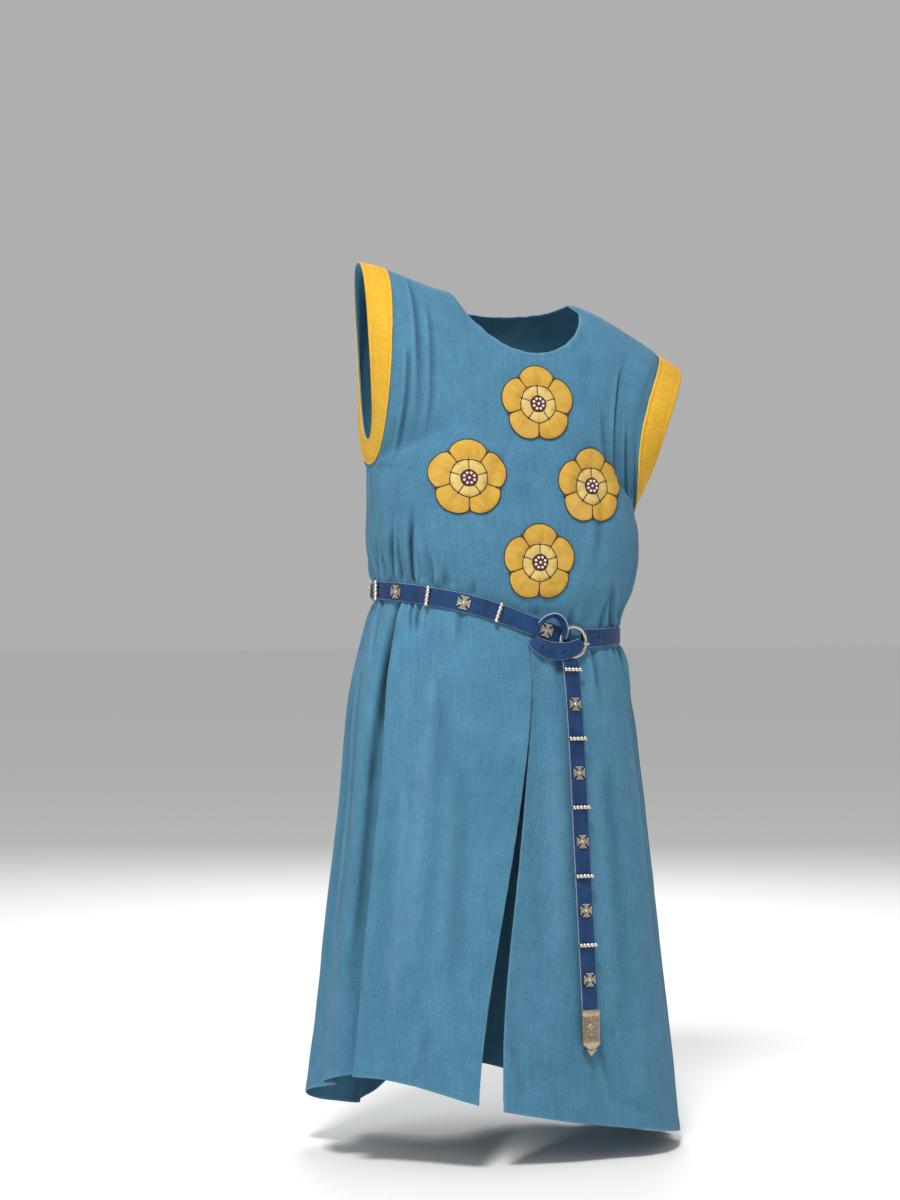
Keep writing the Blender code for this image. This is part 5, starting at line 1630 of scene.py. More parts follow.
def make_armband(side, piece_name):
    """Yellow border sewn round an armhole: a folded inner border, a row of stitches beside it
    and a soft crown that rolls over the free edge."""
    grid = []
    for n in range(BAND_TURNS + 1):
        phi = -math.pi + 2 * math.pi * (n % BAND_TURNS) / BAND_TURNS
        row = []
        for share, rise in BAND_PROFILE:
            place = Vector((math.cos(phi) * 3.1, math.sin(phi) * 3.1, share * 0.7))
            wave = noise.noise(place) + 0.7 * noise.noise(place * 2.9)
            inner = math.exp(-(((share - BAND_START) / 0.35) ** 2))
            lift = rise + BAND_RIPPLE * wave * (0.35 + inner) * (1 if share < 0.99 else 0.3)
            point = strip_point(side, phi, share) + strip_normal(side, phi, share) * lift
            # Paler at the folded border and the free edge: wear with a painted highlight.
            wear_and_painted_light = 0.8 * math.exp(-(((share - BAND_START) / 0.03) ** 2)) + (share > 0.99) * 0.7
            row.append((point, phi * BAND_GIRTH, share * BAND_WIDTH, wear_and_painted_light))
        grid.append(row)
    sign = -1 if side == "right" else 1
    piece = sheet_piece(piece_name, [grid], lambda p: Vector((sign, 0, 0.3)), BAND_SHEET)
    dress(piece, "yellow_canvas")
    return piece


def band_stitches(side):
    rows = []
    for share, rise in BAND_SEAMS:
        row = []
        for n in range(241):
            phi = -math.pi + 2 * math.pi * n / 240
            normal = strip_normal(side, phi, share)
            row.append((strip_point(side, phi, share) + normal * rise, normal))
        rows.append(row)
    return rows


def on_chest(chest, x, z, lift):
    """Point over the front's face at x and z."""
    point, normal, _, _ = chest.ray_cast(Vector((x, -1, z)), Vector((0, 1, 0)))
    normal = (normal if normal.y < 0 else -normal) + Vector((0, -1.0, 0))
    return point + normal.normalized() * lift


def petal_rise(turn, share):
    """Height of the padded stitching: five outer petals, and five small ones between them."""
    outer = abs(math.cos(ROSE_PETALS * turn / 2))
    inner = abs(math.sin(ROSE_PETALS * turn / 2))
    if share >= PETAL_START:
        t = (share - PETAL_START) / (1 - PETAL_START)
        crown = math.sin(math.pi * min(t, 1.0)) ** 0.55 if t < 1 else 0.0
        vein = 0.0007 * math.exp(-(((outer - 1) / 0.004) ** 2)) * (t < 0.75)
        return ROSE_BASE + OUTER_PAD * crown * min(outer * 1.6, 1.0) ** 0.6 - vein
    if share >= HEART_SHARE:
        t = (share - HEART_SHARE) / (PETAL_START - HEART_SHARE)
        crown = math.sin(math.pi * t) ** 0.55
        return ROSE_BASE + INNER_PAD * crown * min(inner * 1.6, 1.0) ** 0.6
    t = share / HEART_SHARE
    return ROSE_BASE + HEART_PAD * math.sqrt(max(1 - t * t, 0.0))


def make_rose_patch(rose, chest):
    """Patch of padded satin stitch in the shape of a rose."""
    grid = []
    shares = [n / ROSE_STEPS for n in range(ROSE_STEPS + 1)]
    for share in shares:
        row = []
        for n in range(ROSE_TURNS + 1):
            turn = 2 * math.pi * (n % ROSE_TURNS) / ROSE_TURNS
            radius = max(rose_radius(turn) * share, 0.0)
            lift = petal_rise(turn, share) if share < 1 else ROSE_BASE
            point = on_chest(
                chest, rose.x + radius * math.sin(turn), rose.z + radius * math.cos(turn), lift
            )
            petal = round(turn * ROSE_PETALS / (2 * math.pi)) * 2 * math.pi / ROSE_PETALS
            across = radius * math.sin(turn - petal)
            row.append((point, across, radius, 0.0))
        grid.append(row)
    piece = sheet_piece(rose.name + "_patch", [grid], lambda p: Vector((0, -1, 0)), ROSE_BACK)
    dress(piece, "gold_thread", "pale_thread", "madder_thread")
    for face in piece.data.polygons:
        centre = face.center
        gone = math.hypot(centre.x - rose.x, centre.z - rose.z)
        turn = math.atan2(centre.x - rose.x, centre.z - rose.z)
        share = gone / rose_radius(turn)
        face.material_index = 2 if share < HEART_SHARE else 1 if share < PETAL_START else 0
    return piece


def make_rose_cords(rose, chest):
    """Dark laid cords round the rose, between its petals and round its heart."""
    cords = []

    def run(name, places, closed):
        points = [on_chest(chest, rose.x + x, rose.z + z, lift) for x, z, lift in places]
        cords.append(cord_mesh(name, points, CORD_RADIUS, 8, closed))

    def ring_places(reach, lift, turns):
        places = []
        for n in range(turns):
            turn = 2 * math.pi * n / turns
            radius = reach(turn)
            places.append((radius * math.sin(turn), radius * math.cos(turn), lift))
        return places

    run(rose.name + "_outline", ring_places(lambda t: rose_radius(t) - 0.0006, 0.0014, 160), True)
    run("ring_petals", ring_places(
        lambda t: ROSE_RADIUS * (PETAL_START - 0.035 * abs(math.cos(2.5 * t))), 0.0016, 100), True)
    run("ring_heart", ring_places(lambda t: ROSE_RADIUS * HEART_SHARE * 0.86, 0.0018, 60), True)
    for petal in range(ROSE_PETALS):
        for offset, low, high in ((0.5, PETAL_START, 0.80), (0.0, HEART_SHARE, PETAL_START)):
            turn = 2 * math.pi * (petal + offset) / ROSE_PETALS
            places = []
            for n in range(9):
                radius = ROSE_RADIUS * (low + (high - low) * n / 8)
                places.append((radius * math.sin(turn), radius * math.cos(turn), 0.0013))
            run("cord_between", places, False)
    piece = join_into(cords[0], cords[1:])
    piece.name = rose.name + "_cords"
    dress(piece, "dark_cord")
    return piece


def model_seed():
    """Small flattened glass pearl with a stitch hole at its top."""
    clear_selection()
    bpy.ops.mesh.primitive_uv_sphere_add(segments=14, ring_count=8, radius=SEED_RADIUS)
    seed = take("seed_model")
    with Editing(seed) as work:
        work.pick("VERT", lambda v: v.co.z > SEED_RADIUS * 0.99)
        bpy.ops.transform.translate(value=(0, 0, -SEED_RADIUS * 0.22))
        work.pick("VERT", lambda v: v.co.z < -SEED_RADIUS * 0.3)
        bpy.ops.transform.resize(value=(1, 1, 0.3), center_override=(0, 0, -SEED_RADIUS * 0.3))
    smooth(seed, 60)
    return seed


def model_barb():
    """Small pointed leaf between two petals, folded along its middle."""
    clear_selection()
    bpy.ops.mesh.primitive_cylinder_add(
        vertices=4, radius=BARB_LENGTH / 2, depth=0.0012, location=(0, BARB_LENGTH / 2, 0.0006)
    )
    barb = take("barb_model")
    with Editing(barb) as work:
        work.pick("VERT", lambda v: abs(v.co.x) > BARB_LENGTH * 0.3)
        bpy.ops.transform.resize(value=(0.42, 1, 1), center_override=(0, BARB_LENGTH / 2, 0))
        bpy.ops.transform.translate(value=(0, -BARB_LENGTH * 0.16, -0.0003))
        work.pick("FACE", lambda f: f.normal.z > 0.9)
        bpy.ops.mesh.inset(thickness=0.0006, depth=0.0005)
    finish_modifier(barb, "BEVEL", width=0.0003, segments=2)
    smooth(barb, 40)
    return barb


def make_rose_trim(rose, chest, seed, barb):
    """Pearls of the heart and the barbs between the petals, each piece a mesh of its own."""
    def facing(x, z, lift):
        middle = on_chest(chest, rose.x + x, rose.z + z, lift)
        right = (on_chest(chest, rose.x + x + 0.002, rose.z + z, lift) - middle).normalized()
        up = (on_chest(chest, rose.x + x, rose.z + z + 0.002, lift) - middle).normalized()
        out = right.cross(up).normalized()
        out = out if out.y < 0 else -out
        return middle, right, up, out

    pearls, barbs = [], []
    spots = [(0.0, 0.0)]
    for n in range(SEED_COUNT):
        turn = 2 * math.pi * (n + 0.5) / SEED_COUNT
        reach = ROSE_RADIUS * HEART_SHARE * 0.56
        spots.append((reach * math.sin(turn), reach * math.cos(turn)))
    for x, z in spots:
        middle, right, up, out = facing(x, z, petal_rise(0, math.hypot(x, z) / ROSE_RADIUS) + 0.0002)
        pearls.append(placed_copy(seed, rose.name + "_pearls", middle, right, up, out))
    for petal in range(ROSE_PETALS):
        turn = 2 * math.pi * (petal + 0.5) / ROSE_PETALS
        reach = ROSE_RADIUS * 0.80
        middle, right, up, out = facing(reach * math.sin(turn), reach * math.cos(turn), 0.0006)
        radial = (up * math.cos(turn) + right * math.sin(turn)).normalized()
        side = radial.cross(out).normalized()
        barbs.append(placed_copy(barb, rose.name + "_barbs", middle, side, radial, out))
    pearls = join_into(pearls[0], pearls[1:])
    barbs = join_into(barbs[0], barbs[1:])
    dress(pearls, "pearl")
    dress(barbs, "madder_cord")
    return pearls, barbs


def strap_ring(middle, wide, face, width, thick):
    """Section of the strap: flat, with rounded edges and a slight crown."""
    half, deep, round_off = width / 2, thick / 2, min(0.0011, thick * 0.4)
    outline = [(-half + round_off, -deep), (half - round_off, -deep), (half, -deep + round_off),
               (half, deep - round_off), (half - round_off, deep)]
    outline += [(half * s, deep + STRAP_CROWN * (1 - s * s)) for s in (0.6, 0.25, -0.25, -0.6)]
    outline += [(-half + round_off, deep), (-half, deep - round_off), (-half, -deep + round_off)]
    ring = []
    for across, out in outline:
        cut = 1.0 if abs(across) > half - round_off * 1.01 and out < deep - 1e-6 else 0.0
        ring.append((middle + wide * across + face * out, across, cut))
    return ring


def strap_piece(name, stations):
    rings, gone, last = [], 0.0, None
    for middle, wide, face, width, thick in stations:
        gone += (middle - last).length if last else 0.0
        last = middle
        rings.append((strap_ring(middle, wide, face, width, thick), gone))
    piece = loft_piece(name, rings)
    dress(piece, "strap_leather")
    return piece


def punch_holes(piece, places):
    """Round holes through a strap at (middle, out) places."""
    drills = []
    for middle, out in places:
        clear_selection()
        turn = Vector((0, 0, 1)).rotation_difference(out).to_euler()
        bpy.ops.mesh.primitive_cylinder_add(
            vertices=16, radius=HOLE_RADIUS, depth=0.012, location=middle, rotation=turn
        )
        drills.append(take("drill"))
    drill = join_into(drills[0], drills[1:])
    finish_modifier(piece, "BOOLEAN", operation="DIFFERENCE", solver="EXACT", object=drill)
    bpy.data.objects.remove(drill)
    smooth(piece, 38)


def angle_on_front(x):
    ring = ring_at(BELT_LEVEL)
    share = (x - ring.centre_x) / ring.half_width
    return math.asin(signed_power(share, ring.round_front / 2))


def make_waist_strap():
    stations = []
    first, last = WAIST_START_DEG, WAIST_END_DEG - 360
    for n in range(WAIST_FINE + 1):
        angle = math.radians(first + (last - first) * n / WAIST_FINE)
        point, out, _, up = waist_frame(angle)
        middle = point + out * (STRAP_STANDOFF + STRAP_THICK / 2)
        stations.append((middle, up, out, STRAP_WIDTH, STRAP_THICK))
    piece = strap_piece("belt_waist_strap", stations)
    places = []
    for x in WAIST_HOLES_X:
        point, out, _, _ = waist_frame(angle_on_front(x))
        places.append((point + out * STRAP_STANDOFF, out))
    punch_holes(piece, places)
    return piece


def make_knot_strap(name, path, holes_x):
    fine = finer_path(path, KNOT_FINE)
    stations = [knot_station(knot, fine, n) for n, knot in enumerate(fine)]
    piece = strap_piece(name, stations)
    places = []
    for x in holes_x:
        nearest = min(range(len(fine)), key=lambda n: abs(fine[n].x - x))
        middle, _, face, _, _ = stations[nearest]
        places.append((middle, face if face.y < 0 else -face))
    if places:
        punch_holes(piece, places)
    else:
        smooth(piece, 38)
    return piece


def make_tail_strap():
    body_length = TAIL_LENGTH - STRAP_END_BODY - STRAP_END_TIP
    stations = []
    for n in range(TAIL_FINE + 1):
        point, out, _, side = tail_frame(body_length * n / TAIL_FINE)
        middle = point + out * (TAIL_STANDOFF + STRAP_THICK / 2)
        stations.append((middle, side, out, STRAP_WIDTH, STRAP_THICK))
    piece = strap_piece("belt_tail_strap", stations)
    smooth(piece, 38)
    return piece


def model_bar(settings):
    """Beaded bar: a rod cut into rings, every ring drawn in or out to make its beads."""
    clear_selection()
    bpy.ops.mesh.primitive_cylinder_add(
        vertices=20, radius=BAR_RADIUS, depth=BAR_WIDTH, location=(0, 0, BAR_RADIUS),
        rotation=(math.pi / 2, 0, 0),
    )
    bar = take("bar_model")
    apply_place()
    with Editing(bar) as work:
        work.pick("EDGE", lambda e: abs(e.verts[0].co.y - e.verts[1].co.y) > BAR_WIDTH * 0.9)
        bpy.ops.mesh.subdivide(number_cuts=BAR_RINGS - 1)
        for n in range(BAR_RINGS + 1):
            y = BAR_WIDTH * (n / BAR_RINGS - 0.5)
            swell = abs(math.sin(math.pi * BAR_BEADS * n / BAR_RINGS)) ** 0.6
            factor = settings.bead_waist + (1.04 - settings.bead_waist) * swell
            work.pick("VERT", lambda v: abs(v.co.y - y) < BAR_WIDTH / BAR_RINGS / 3)
            bpy.ops.transform.resize(value=(factor, 1, factor), center_override=(0, y, BAR_RADIUS))
        work.pick("VERT", lambda v: v.co.z < BAR_RADIUS * 0.35)
        bpy.ops.transform.resize(value=(1, 1, 0.25), center_override=(0, 0, 0.0002))
    finish_modifier(bar, "SUBSURF", levels=1, render_levels=1)
    middle = BAR_RADIUS
    mark(bar, "hollow", lambda p: 1 - ease(
        (math.hypot(p.x, p.z - middle) / BAR_RADIUS - settings.bead_waist * 0.85) / 0.32))
    dress(bar, "cast_silver")
    smooth(bar, 60)
    return bar


def model_stud(settings):
    """Cross with four widening arms: a core drawn out four ways, a rim round a sunk field, a
    raised cross in the field and a rivet in the middle."""
    half, neck, flare = STUD_SIZE / 2, STUD_NECK, STUD_SIZE * STUD_FLARE
    clear_selection()
    bpy.ops.mesh.primitive_cube_add(size=1, location=(0, 0, STUD_THICK / 2),
                                    scale=(2 * neck, 2 * neck, STUD_THICK))
    stud = take("stud_model")
    apply_place()
    ways = [(1, 0), (0, 1), (-1, 0), (0, -1)]
    with Editing(stud) as work:
        for x, y in ways:
            way = Vector((x, y, 0))
            work.pick("FACE", lambda f: f.normal.dot(way) > 0.9
                      and f.calc_center_median().dot(way) > neck * 0.9
                      and abs(f.calc_center_median().cross(way).z) < neck * 0.2)
            for reach, widen in ((0.45, 1.35), (0.55, flare / neck / 1.35)):
                step = way * (half - neck) * reach
                bpy.ops.mesh.extrude_region_move(TRANSFORM_OT_translate={"value": step})
                bpy.ops.transform.resize(
                    value=(1 if x else widen, 1 if y else widen, 1), center_override=(0, 0, 0)
                )
        work.pick("FACE", lambda f: f.normal.z > 0.9)
        bpy.ops.mesh.inset(thickness=settings.stud_rim, depth=-0.0006)
        bpy.ops.mesh.inset(thickness=settings.stud_rim * 0.8, depth=0.0)
        bpy.ops.mesh.extrude_region_move(TRANSFORM_OT_translate={"value": (0, 0, 0.0005)})
    finish_modifier(stud, "BEVEL", width=0.00022, segments=2, limit_method="ANGLE",
                    angle_limit=math.radians(35))
    mark(stud, "hollow", lambda p: 1 - ease((p.z - STUD_THICK + 0.0009) / 0.0008))
    clear_selection()
    bpy.ops.mesh.primitive_uv_sphere_add(
        segments=18, ring_count=10, radius=0.0024, location=(0, 0, STUD_THICK - 0.0002)
    )
    rivet = take("rivet_model")
    apply_place()
    with Editing(rivet) as work:
        work.pick("VERT", lambda v: v.co.z > STUD_THICK + 0.0005)
        bpy.ops.transform.resize(value=(0.9, 0.9, 0.55), center_override=(0, 0, STUD_THICK + 0.0005))
    mark(rivet, "hollow", lambda p: 1 - ease((p.z - STUD_THICK + 0.0004) / 0.0007))
    join_into(stud, [rivet])
    dress(stud, "cast_silver")
    smooth(stud, 35)
    return stud


def place_fittings(bar, stud):
    """Bars and studs along the waist and down the tail, on the solids they stand for."""
    lift = STRAP_STANDOFF + STRAP_THICK + LAID_ON_GAP
    made = []

    def set_waist(model, node, distance):
        point, out, along, up = waist_frame(waist_angle_at(distance))
        piece = placed_copy(model, node + "_cast", point + out * lift, along, up, out)
        settle(piece, "old_silver", node)
        made.append(piece)

    for n in range(WAIST_BARS):
        set_waist(bar, "bar_waist_%d" % (n + 1), 0.046 + FITTING_PITCH * n)
        set_waist(stud, "stud_waist_%d" % (n + 1), 0.096 + FITTING_PITCH * n)
    set_waist(stud, "stud_buckle_1", -0.026)
    lift = TAIL_STANDOFF + STRAP_THICK + LAID_ON_GAP
    for n in range(TAIL_BARS):
        for model, kind, share in ((bar, "bar", 0.0), (stud, "stud", 0.5)):
            node = "%s_tail_%d" % (kind, n + 1)
            point, out, down, side = tail_frame(TAIL_FIRST_BAR + TAIL_PITCH * (n + share))
            piece = placed_copy(model, node + "_cast", point + out * lift, down, side, out)
            settle(piece, "old_silver", node)
            made.append(piece)
    return made


def buckle_place():
    point, out, along, up = waist_frame(angle_on_front(BUCKLE_X))
    lift = STRAP_STANDOFF + STRAP_THICK + BUCKLE_WIRE + 2 * LAID_ON_GAP
    return point + out * lift - up * BUCKLE_DROP, out, along, up


def make_buckle(settings):
    """Ring of the buckle, with a narrowed seat for the tongue and a collar on each side."""
    clear_selection()
    bpy.ops.mesh.primitive_torus_add(
        major_segments=96, minor_segments=18, major_radius=BUCKLE_RADIUS,
        minor_radius=BUCKLE_WIRE,
    )
    ring = take("ring_model")
    with Editing(ring) as work:
        for turn_deg, factor in settings_rows(settings.collar_swell):
            turn = math.radians(turn_deg)
            centre = Vector((math.cos(turn), math.sin(turn), 0)) * BUCKLE_RADIUS
            work.pick("VERT", lambda v: abs(
                (math.degrees(math.atan2(v.co.y, v.co.x)) - turn_deg + 180) % 360 - 180) < 1.2)
            bpy.ops.transform.resize(value=(factor, factor, factor), center_override=centre)
        work.pick("VERT", lambda v: v.co.z < -BUCKLE_WIRE * 0.45)
        bpy.ops.transform.resize(value=(1, 1, 0.35), center_override=(0, 0, -BUCKLE_WIRE * 0.45))
    finish_modifier(ring, "SUBSURF", levels=1, render_levels=1)
    mark(ring, "hollow", lambda p: 1 - ease((p.z + BUCKLE_WIRE * 0.75) / 0.0012))
    smooth(ring, 60)
    dress(ring, "cast_silver")
    middle, out, along, up = buckle_place()
    piece = placed_copy(ring, "buckle_ring_cast", middle, along, up, out)
    bpy.data.objects.remove(ring)
    return piece


def settings_rows(swell):
    """Angles round the ring, and how much thicker or thinner it is there."""
    rows = []
    for middle in (180, 146, 214, 60, -60, 20, -20):
        for step in (-3.75, 0, 3.75):
            peak = swell if step == 0 else 1 + (swell - 1) * 0.6
            rows.append((middle + step, peak))
    return rows


def make_tongue():
    """Tongue of the buckle: drawn out of its eye, thinned towards its tip and bent down."""
    middle, out, along, up = buckle_place()
    reach, height, half = TONGUE_ROWS[0]
    clear_selection()
    bpy.ops.mesh.primitive_cube_add(
        size=1, location=(-reach, 0, height), scale=(0.0010, 2 * half, 2 * TONGUE_HALF)
    )
    tongue = take("tongue_model")
    apply_place()
    with Editing(tongue) as work:
        work.pick("FACE", lambda f: f.normal.x < -0.9)
        for before, after in zip(TONGUE_ROWS, TONGUE_ROWS[1:]):
            step = (-(after[0] - before[0]), 0, after[1] - before[1])
            bpy.ops.mesh.extrude_region_move(TRANSFORM_OT_translate={"value": step})
            narrow = after[2] / before[2]
            bpy.ops.transform.resize(value=(1, narrow, 0.96), center_override=(-after[0], 0, after[1]))
    finish_modifier(tongue, "BEVEL", width=0.0006, segments=3)
    mark(tongue, "hollow", lambda p: 0.4 * (1 - ease((p.z - 0.0025) / 0.0015)))
    smooth(tongue, 50)
    dress(tongue, "cast_silver")
    piece = placed_copy(tongue, "buckle_tongue_cast", middle, along, up, out)
    bpy.data.objects.remove(tongue)
    return piece


def make_strap_end():
    """Cast end of the strap: a plate with a bright rolled mouth, beaded rims round a sunk field,
    a lozenge boss between dots, and a pyramid for its tip."""
    width, thick = STRAP_END_WIDTH, STRAP_END_THICK
    clear_selection()
    bpy.ops.mesh.primitive_cube_add(
        size=1, location=(STRAP_END_BODY / 2, 0, 0), scale=(STRAP_END_BODY, width, thick)
    )
    plate = take("strap_end_model")
    apply_place()
    with Editing(plate) as work:
        work.pick("EDGE", lambda e: abs(e.verts[0].co.x - e.verts[1].co.x) > STRAP_END_BODY * 0.9)
        bpy.ops.mesh.subdivide(number_cuts=11)
        work.pick("FACE", lambda f: f.normal.x > 0.9)
        bpy.ops.mesh.extrude_region_move(TRANSFORM_OT_translate={"value": (STRAP_END_SHOULDER, 0, 0)})
        bpy.ops.transform.resize(value=(1, STRAP_END_NARROW, 0.9), center_override=(STRAP_END_BODY, 0, 0))
        bpy.ops.mesh.extrude_region_move(TRANSFORM_OT_translate={"value": (0.0015, 0, 0)})
        bpy.ops.transform.resize(value=(1, 0.75, 0.8), center_override=(STRAP_END_BODY, 0, 0))
        bpy.ops.mesh.extrude_region_move(TRANSFORM_OT_translate={"value": (0.0015, 0, 0)})
        bpy.ops.transform.resize(value=(1, 1.45, 1.2), center_override=(STRAP_END_BODY, 0, 0))
        tip = STRAP_END_TIP - STRAP_END_SHOULDER - 0.003
        bpy.ops.mesh.extrude_region_move(TRANSFORM_OT_translate={"value": (tip, 0, 0)})
        bpy.ops.transform.resize(value=(1, 0.08, 0.12), center_override=(STRAP_END_BODY, 0, 0))
        step = STRAP_END_BODY / 12
        work.pick("FACE", lambda f: f.normal.z > 0.9 and step * 1.9 < f.calc_center_median().x
                  < step * 10.1)
        bpy.ops.mesh.inset(thickness=0.0020, depth=-0.0010)
        work.pick("FACE", lambda f: f.calc_center_median().x < step and abs(f.normal.x) < 0.5)
        bpy.ops.transform.resize(value=(1, 1.05, 1.16), center_override=(0, 0, 0))
    finish_modifier(plate, "BEVEL", width=0.0004, segments=2, limit_method="ANGLE",
                    angle_limit=math.radians(30))
    top = thick / 2
    mark(plate, "hollow", lambda p: (1 - ease((p.z - top + 0.0011) / 0.0009))
         * 0.45 * (0 < p.x < STRAP_END_BODY))
    dots = []
    for n in range(7):
        for side in (-1, 1):
            dots.append(end_dot(0.0085 + 0.0052 * n, side * 0.0066, 0.0011))
    for n in range(5):
        dots.append(end_dot(0.0025, (n - 2) * 0.0050, 0.0010, 0.0003))
    for x in (0.0125, 0.0345):
        dots.append(end_dot(x, 0.0, 0.0014))
    join_into(plate, dots + [end_lozenge(top)])
    smooth(plate, 35)
    dress(plate, "cast_bronze")
    body_length = TAIL_LENGTH - STRAP_END_BODY - STRAP_END_TIP
    point, out, down, side = tail_frame(body_length + LAID_ON_GAP)
    middle = point + out * (TAIL_STANDOFF + STRAP_THICK / 2)
    piece = placed_copy(plate, "strap_end_cast", middle, down, side, out)
    bpy.data.objects.remove(plate)
    return piece


def end_dot(x, y, radius, rise=-0.0010):
    clear_selection()
    bpy.ops.mesh.primitive_uv_sphere_add(
        segments=12, ring_count=6, radius=radius, location=(x, y, STRAP_END_THICK / 2 + rise)
    )
    dot = take("dot")
    apply_place()
    with Editing(dot) as work:
        work.pick("VERT", lambda v: True)
        bpy.ops.transform.resize(value=(1, 1, 0.8), center_override=(x, y, STRAP_END_THICK / 2 + rise))
    mark(dot, "hollow", lambda p: 0.0)
    return dot


def end_lozenge(top):
    clear_selection()
    bpy.ops.mesh.primitive_cylinder_add(
        vertices=4, radius=0.0052, depth=0.0012, location=(0.0235, 0, top - 0.0006)
    )
    boss = take("lozenge")
    apply_place()
    with Editing(boss) as work:
        work.pick("FACE", lambda f: f.normal.z > 0.9)
        bpy.ops.mesh.inset(thickness=0.0013, depth=0.0007)
        bpy.ops.mesh.inset(thickness=0.0008, depth=-0.0006)
    finish_modifier(boss, "BEVEL", width=0.0002, segments=2)
    mark(boss, "hollow", lambda p: 0.0)
    return boss


class SurcoatCloth(bpy.types.PropertyGroup):
    """Sizes and colours of the cloth."""

    wall: FloatProperty(
        name="Cloth", description="Thickness of the blue cloth", default=CLOTH_WALL,
        min=0.0008, max=0.003, subtype="DISTANCE", unit="LENGTH",
    )
    weave: FloatProperty(
        name="Weave", description="Width of a pair of threads in the blue cloth",
        default=0.0011, min=0.0005, max=0.003, subtype="DISTANCE", unit="LENGTH",
    )
    blue_deep: FloatVectorProperty(
        name="Deep blue", description="Darkest tone of the blue cloth",
        default=(0.036, 0.128, 0.205), size=3, min=0, max=1, subtype="COLOR",
    )
    blue_light: FloatVectorProperty(
        name="Light blue", description="Lightest tone of the blue cloth",
        default=(0.098, 0.272, 0.420), size=3, min=0, max=1, subtype="COLOR",
    )
    # Pale tone of the turned edges and fold ridges: wear with a painted highlight.
    blue_worn: FloatVectorProperty(
        name="Worn blue", description="Tone of the blue cloth where its edges are rubbed",
        default=(0.150, 0.310, 0.430), size=3, min=0, max=1, subtype="COLOR",
    )
    yellow_deep: FloatVectorProperty(
        name="Deep yellow", description="Darkest tone of the armhole bands",
        default=(0.52, 0.27, 0.012), size=3, min=0, max=1, subtype="COLOR",
    )
    yellow_light: FloatVectorProperty(
        name="Light yellow", description="Lightest tone of the armhole bands",
        default=(0.86, 0.52, 0.055), size=3, min=0, max=1, subtype="COLOR",
    )


class SurcoatRoses(bpy.types.PropertyGroup):
    """Threads of the roses."""

    strand: FloatProperty(
        name="Strand", description="Width of one thread of the satin stitches",
        default=0.0007, min=0.0003, max=0.002, subtype="DISTANCE", unit="LENGTH",
    )
    gold: FloatVectorProperty(
        name="Gold", description="Light tone of the petals",
        default=(0.92, 0.60, 0.09), size=3, min=0, max=1, subtype="COLOR",
    )
    madder: FloatVectorProperty(
        name="Madder", description="Light tone of the heart",
        default=(0.20, 0.022, 0.030), size=3, min=0, max=1, subtype="COLOR",
    )


class SurcoatBelt(bpy.types.PropertyGroup):
    """Shapes and colours of the belt's leather and fittings."""

    bead_waist: FloatProperty(
        name="Bead waist", description="How thin a bar is between two beads, as a share",
        default=0.55, min=0.3, max=0.9, subtype="FACTOR",
    )
    stud_rim: FloatProperty(
        name="Stud rim", description="Width of the rim round a cross stud",
        default=0.0010, min=0.0005, max=0.0016, subtype="DISTANCE", unit="LENGTH",
    )
    collar_swell: FloatProperty(
        name="Collar", description="How much thicker the buckle's ring is at its collars",
        default=1.22, min=1.0, max=1.6, subtype="FACTOR",
    )
    leather_deep: FloatVectorProperty(
        name="Deep leather", description="Darkest tone of the dyed strap",
        default=(0.003, 0.018, 0.066), size=3, min=0, max=1, subtype="COLOR",
    )
    leather_light: FloatVectorProperty(
        name="Light leather", description="Lightest tone of the dyed strap",
        default=(0.011, 0.062, 0.200), size=3, min=0, max=1, subtype="COLOR",
    )
    silver: FloatVectorProperty(
        name="Silver", description="Polished tone of the bars, studs and buckle",
        default=(0.86, 0.79, 0.66), size=3, min=0, max=1, subtype="COLOR",
    )
    bronze: FloatVectorProperty(
        name="Bronze", description="Polished tone of the strap's end",
        default=(0.64, 0.54, 0.40), size=3, min=0, max=1, subtype="COLOR",
    )


class SurcoatStage(bpy.types.PropertyGroup):
    """Floor, light and camera."""

    floor_colour: FloatVectorProperty(
        name="Floor", description="Colour of the plain floor",
        default=(0.93, 0.93, 0.92), size=3, min=0, max=1, subtype="COLOR",
    )
    light_power: FloatProperty(
        name="Light", description="Power of the main soft light, in watts",
        default=150.0, min=0.0, max=3000.0, subtype="POWER", unit="POWER",
    )
    sky: FloatProperty(
        name="Sky", description="Strength of the even light from all round",
        default=0.43, min=0.0, max=3.0, subtype="FACTOR",
    )
    lens: FloatProperty(
        name="Lens", description="Focal length of the camera, in millimetres on a 36 mm frame",
        default=88.11, min=20.0, max=200.0, subtype="DISTANCE_CAMERA", unit="CAMERA",
    )
    floor_steps: IntProperty(
        name="Floor steps", description="Divisions of the floor each way", default=4, min=1, max=20
    )


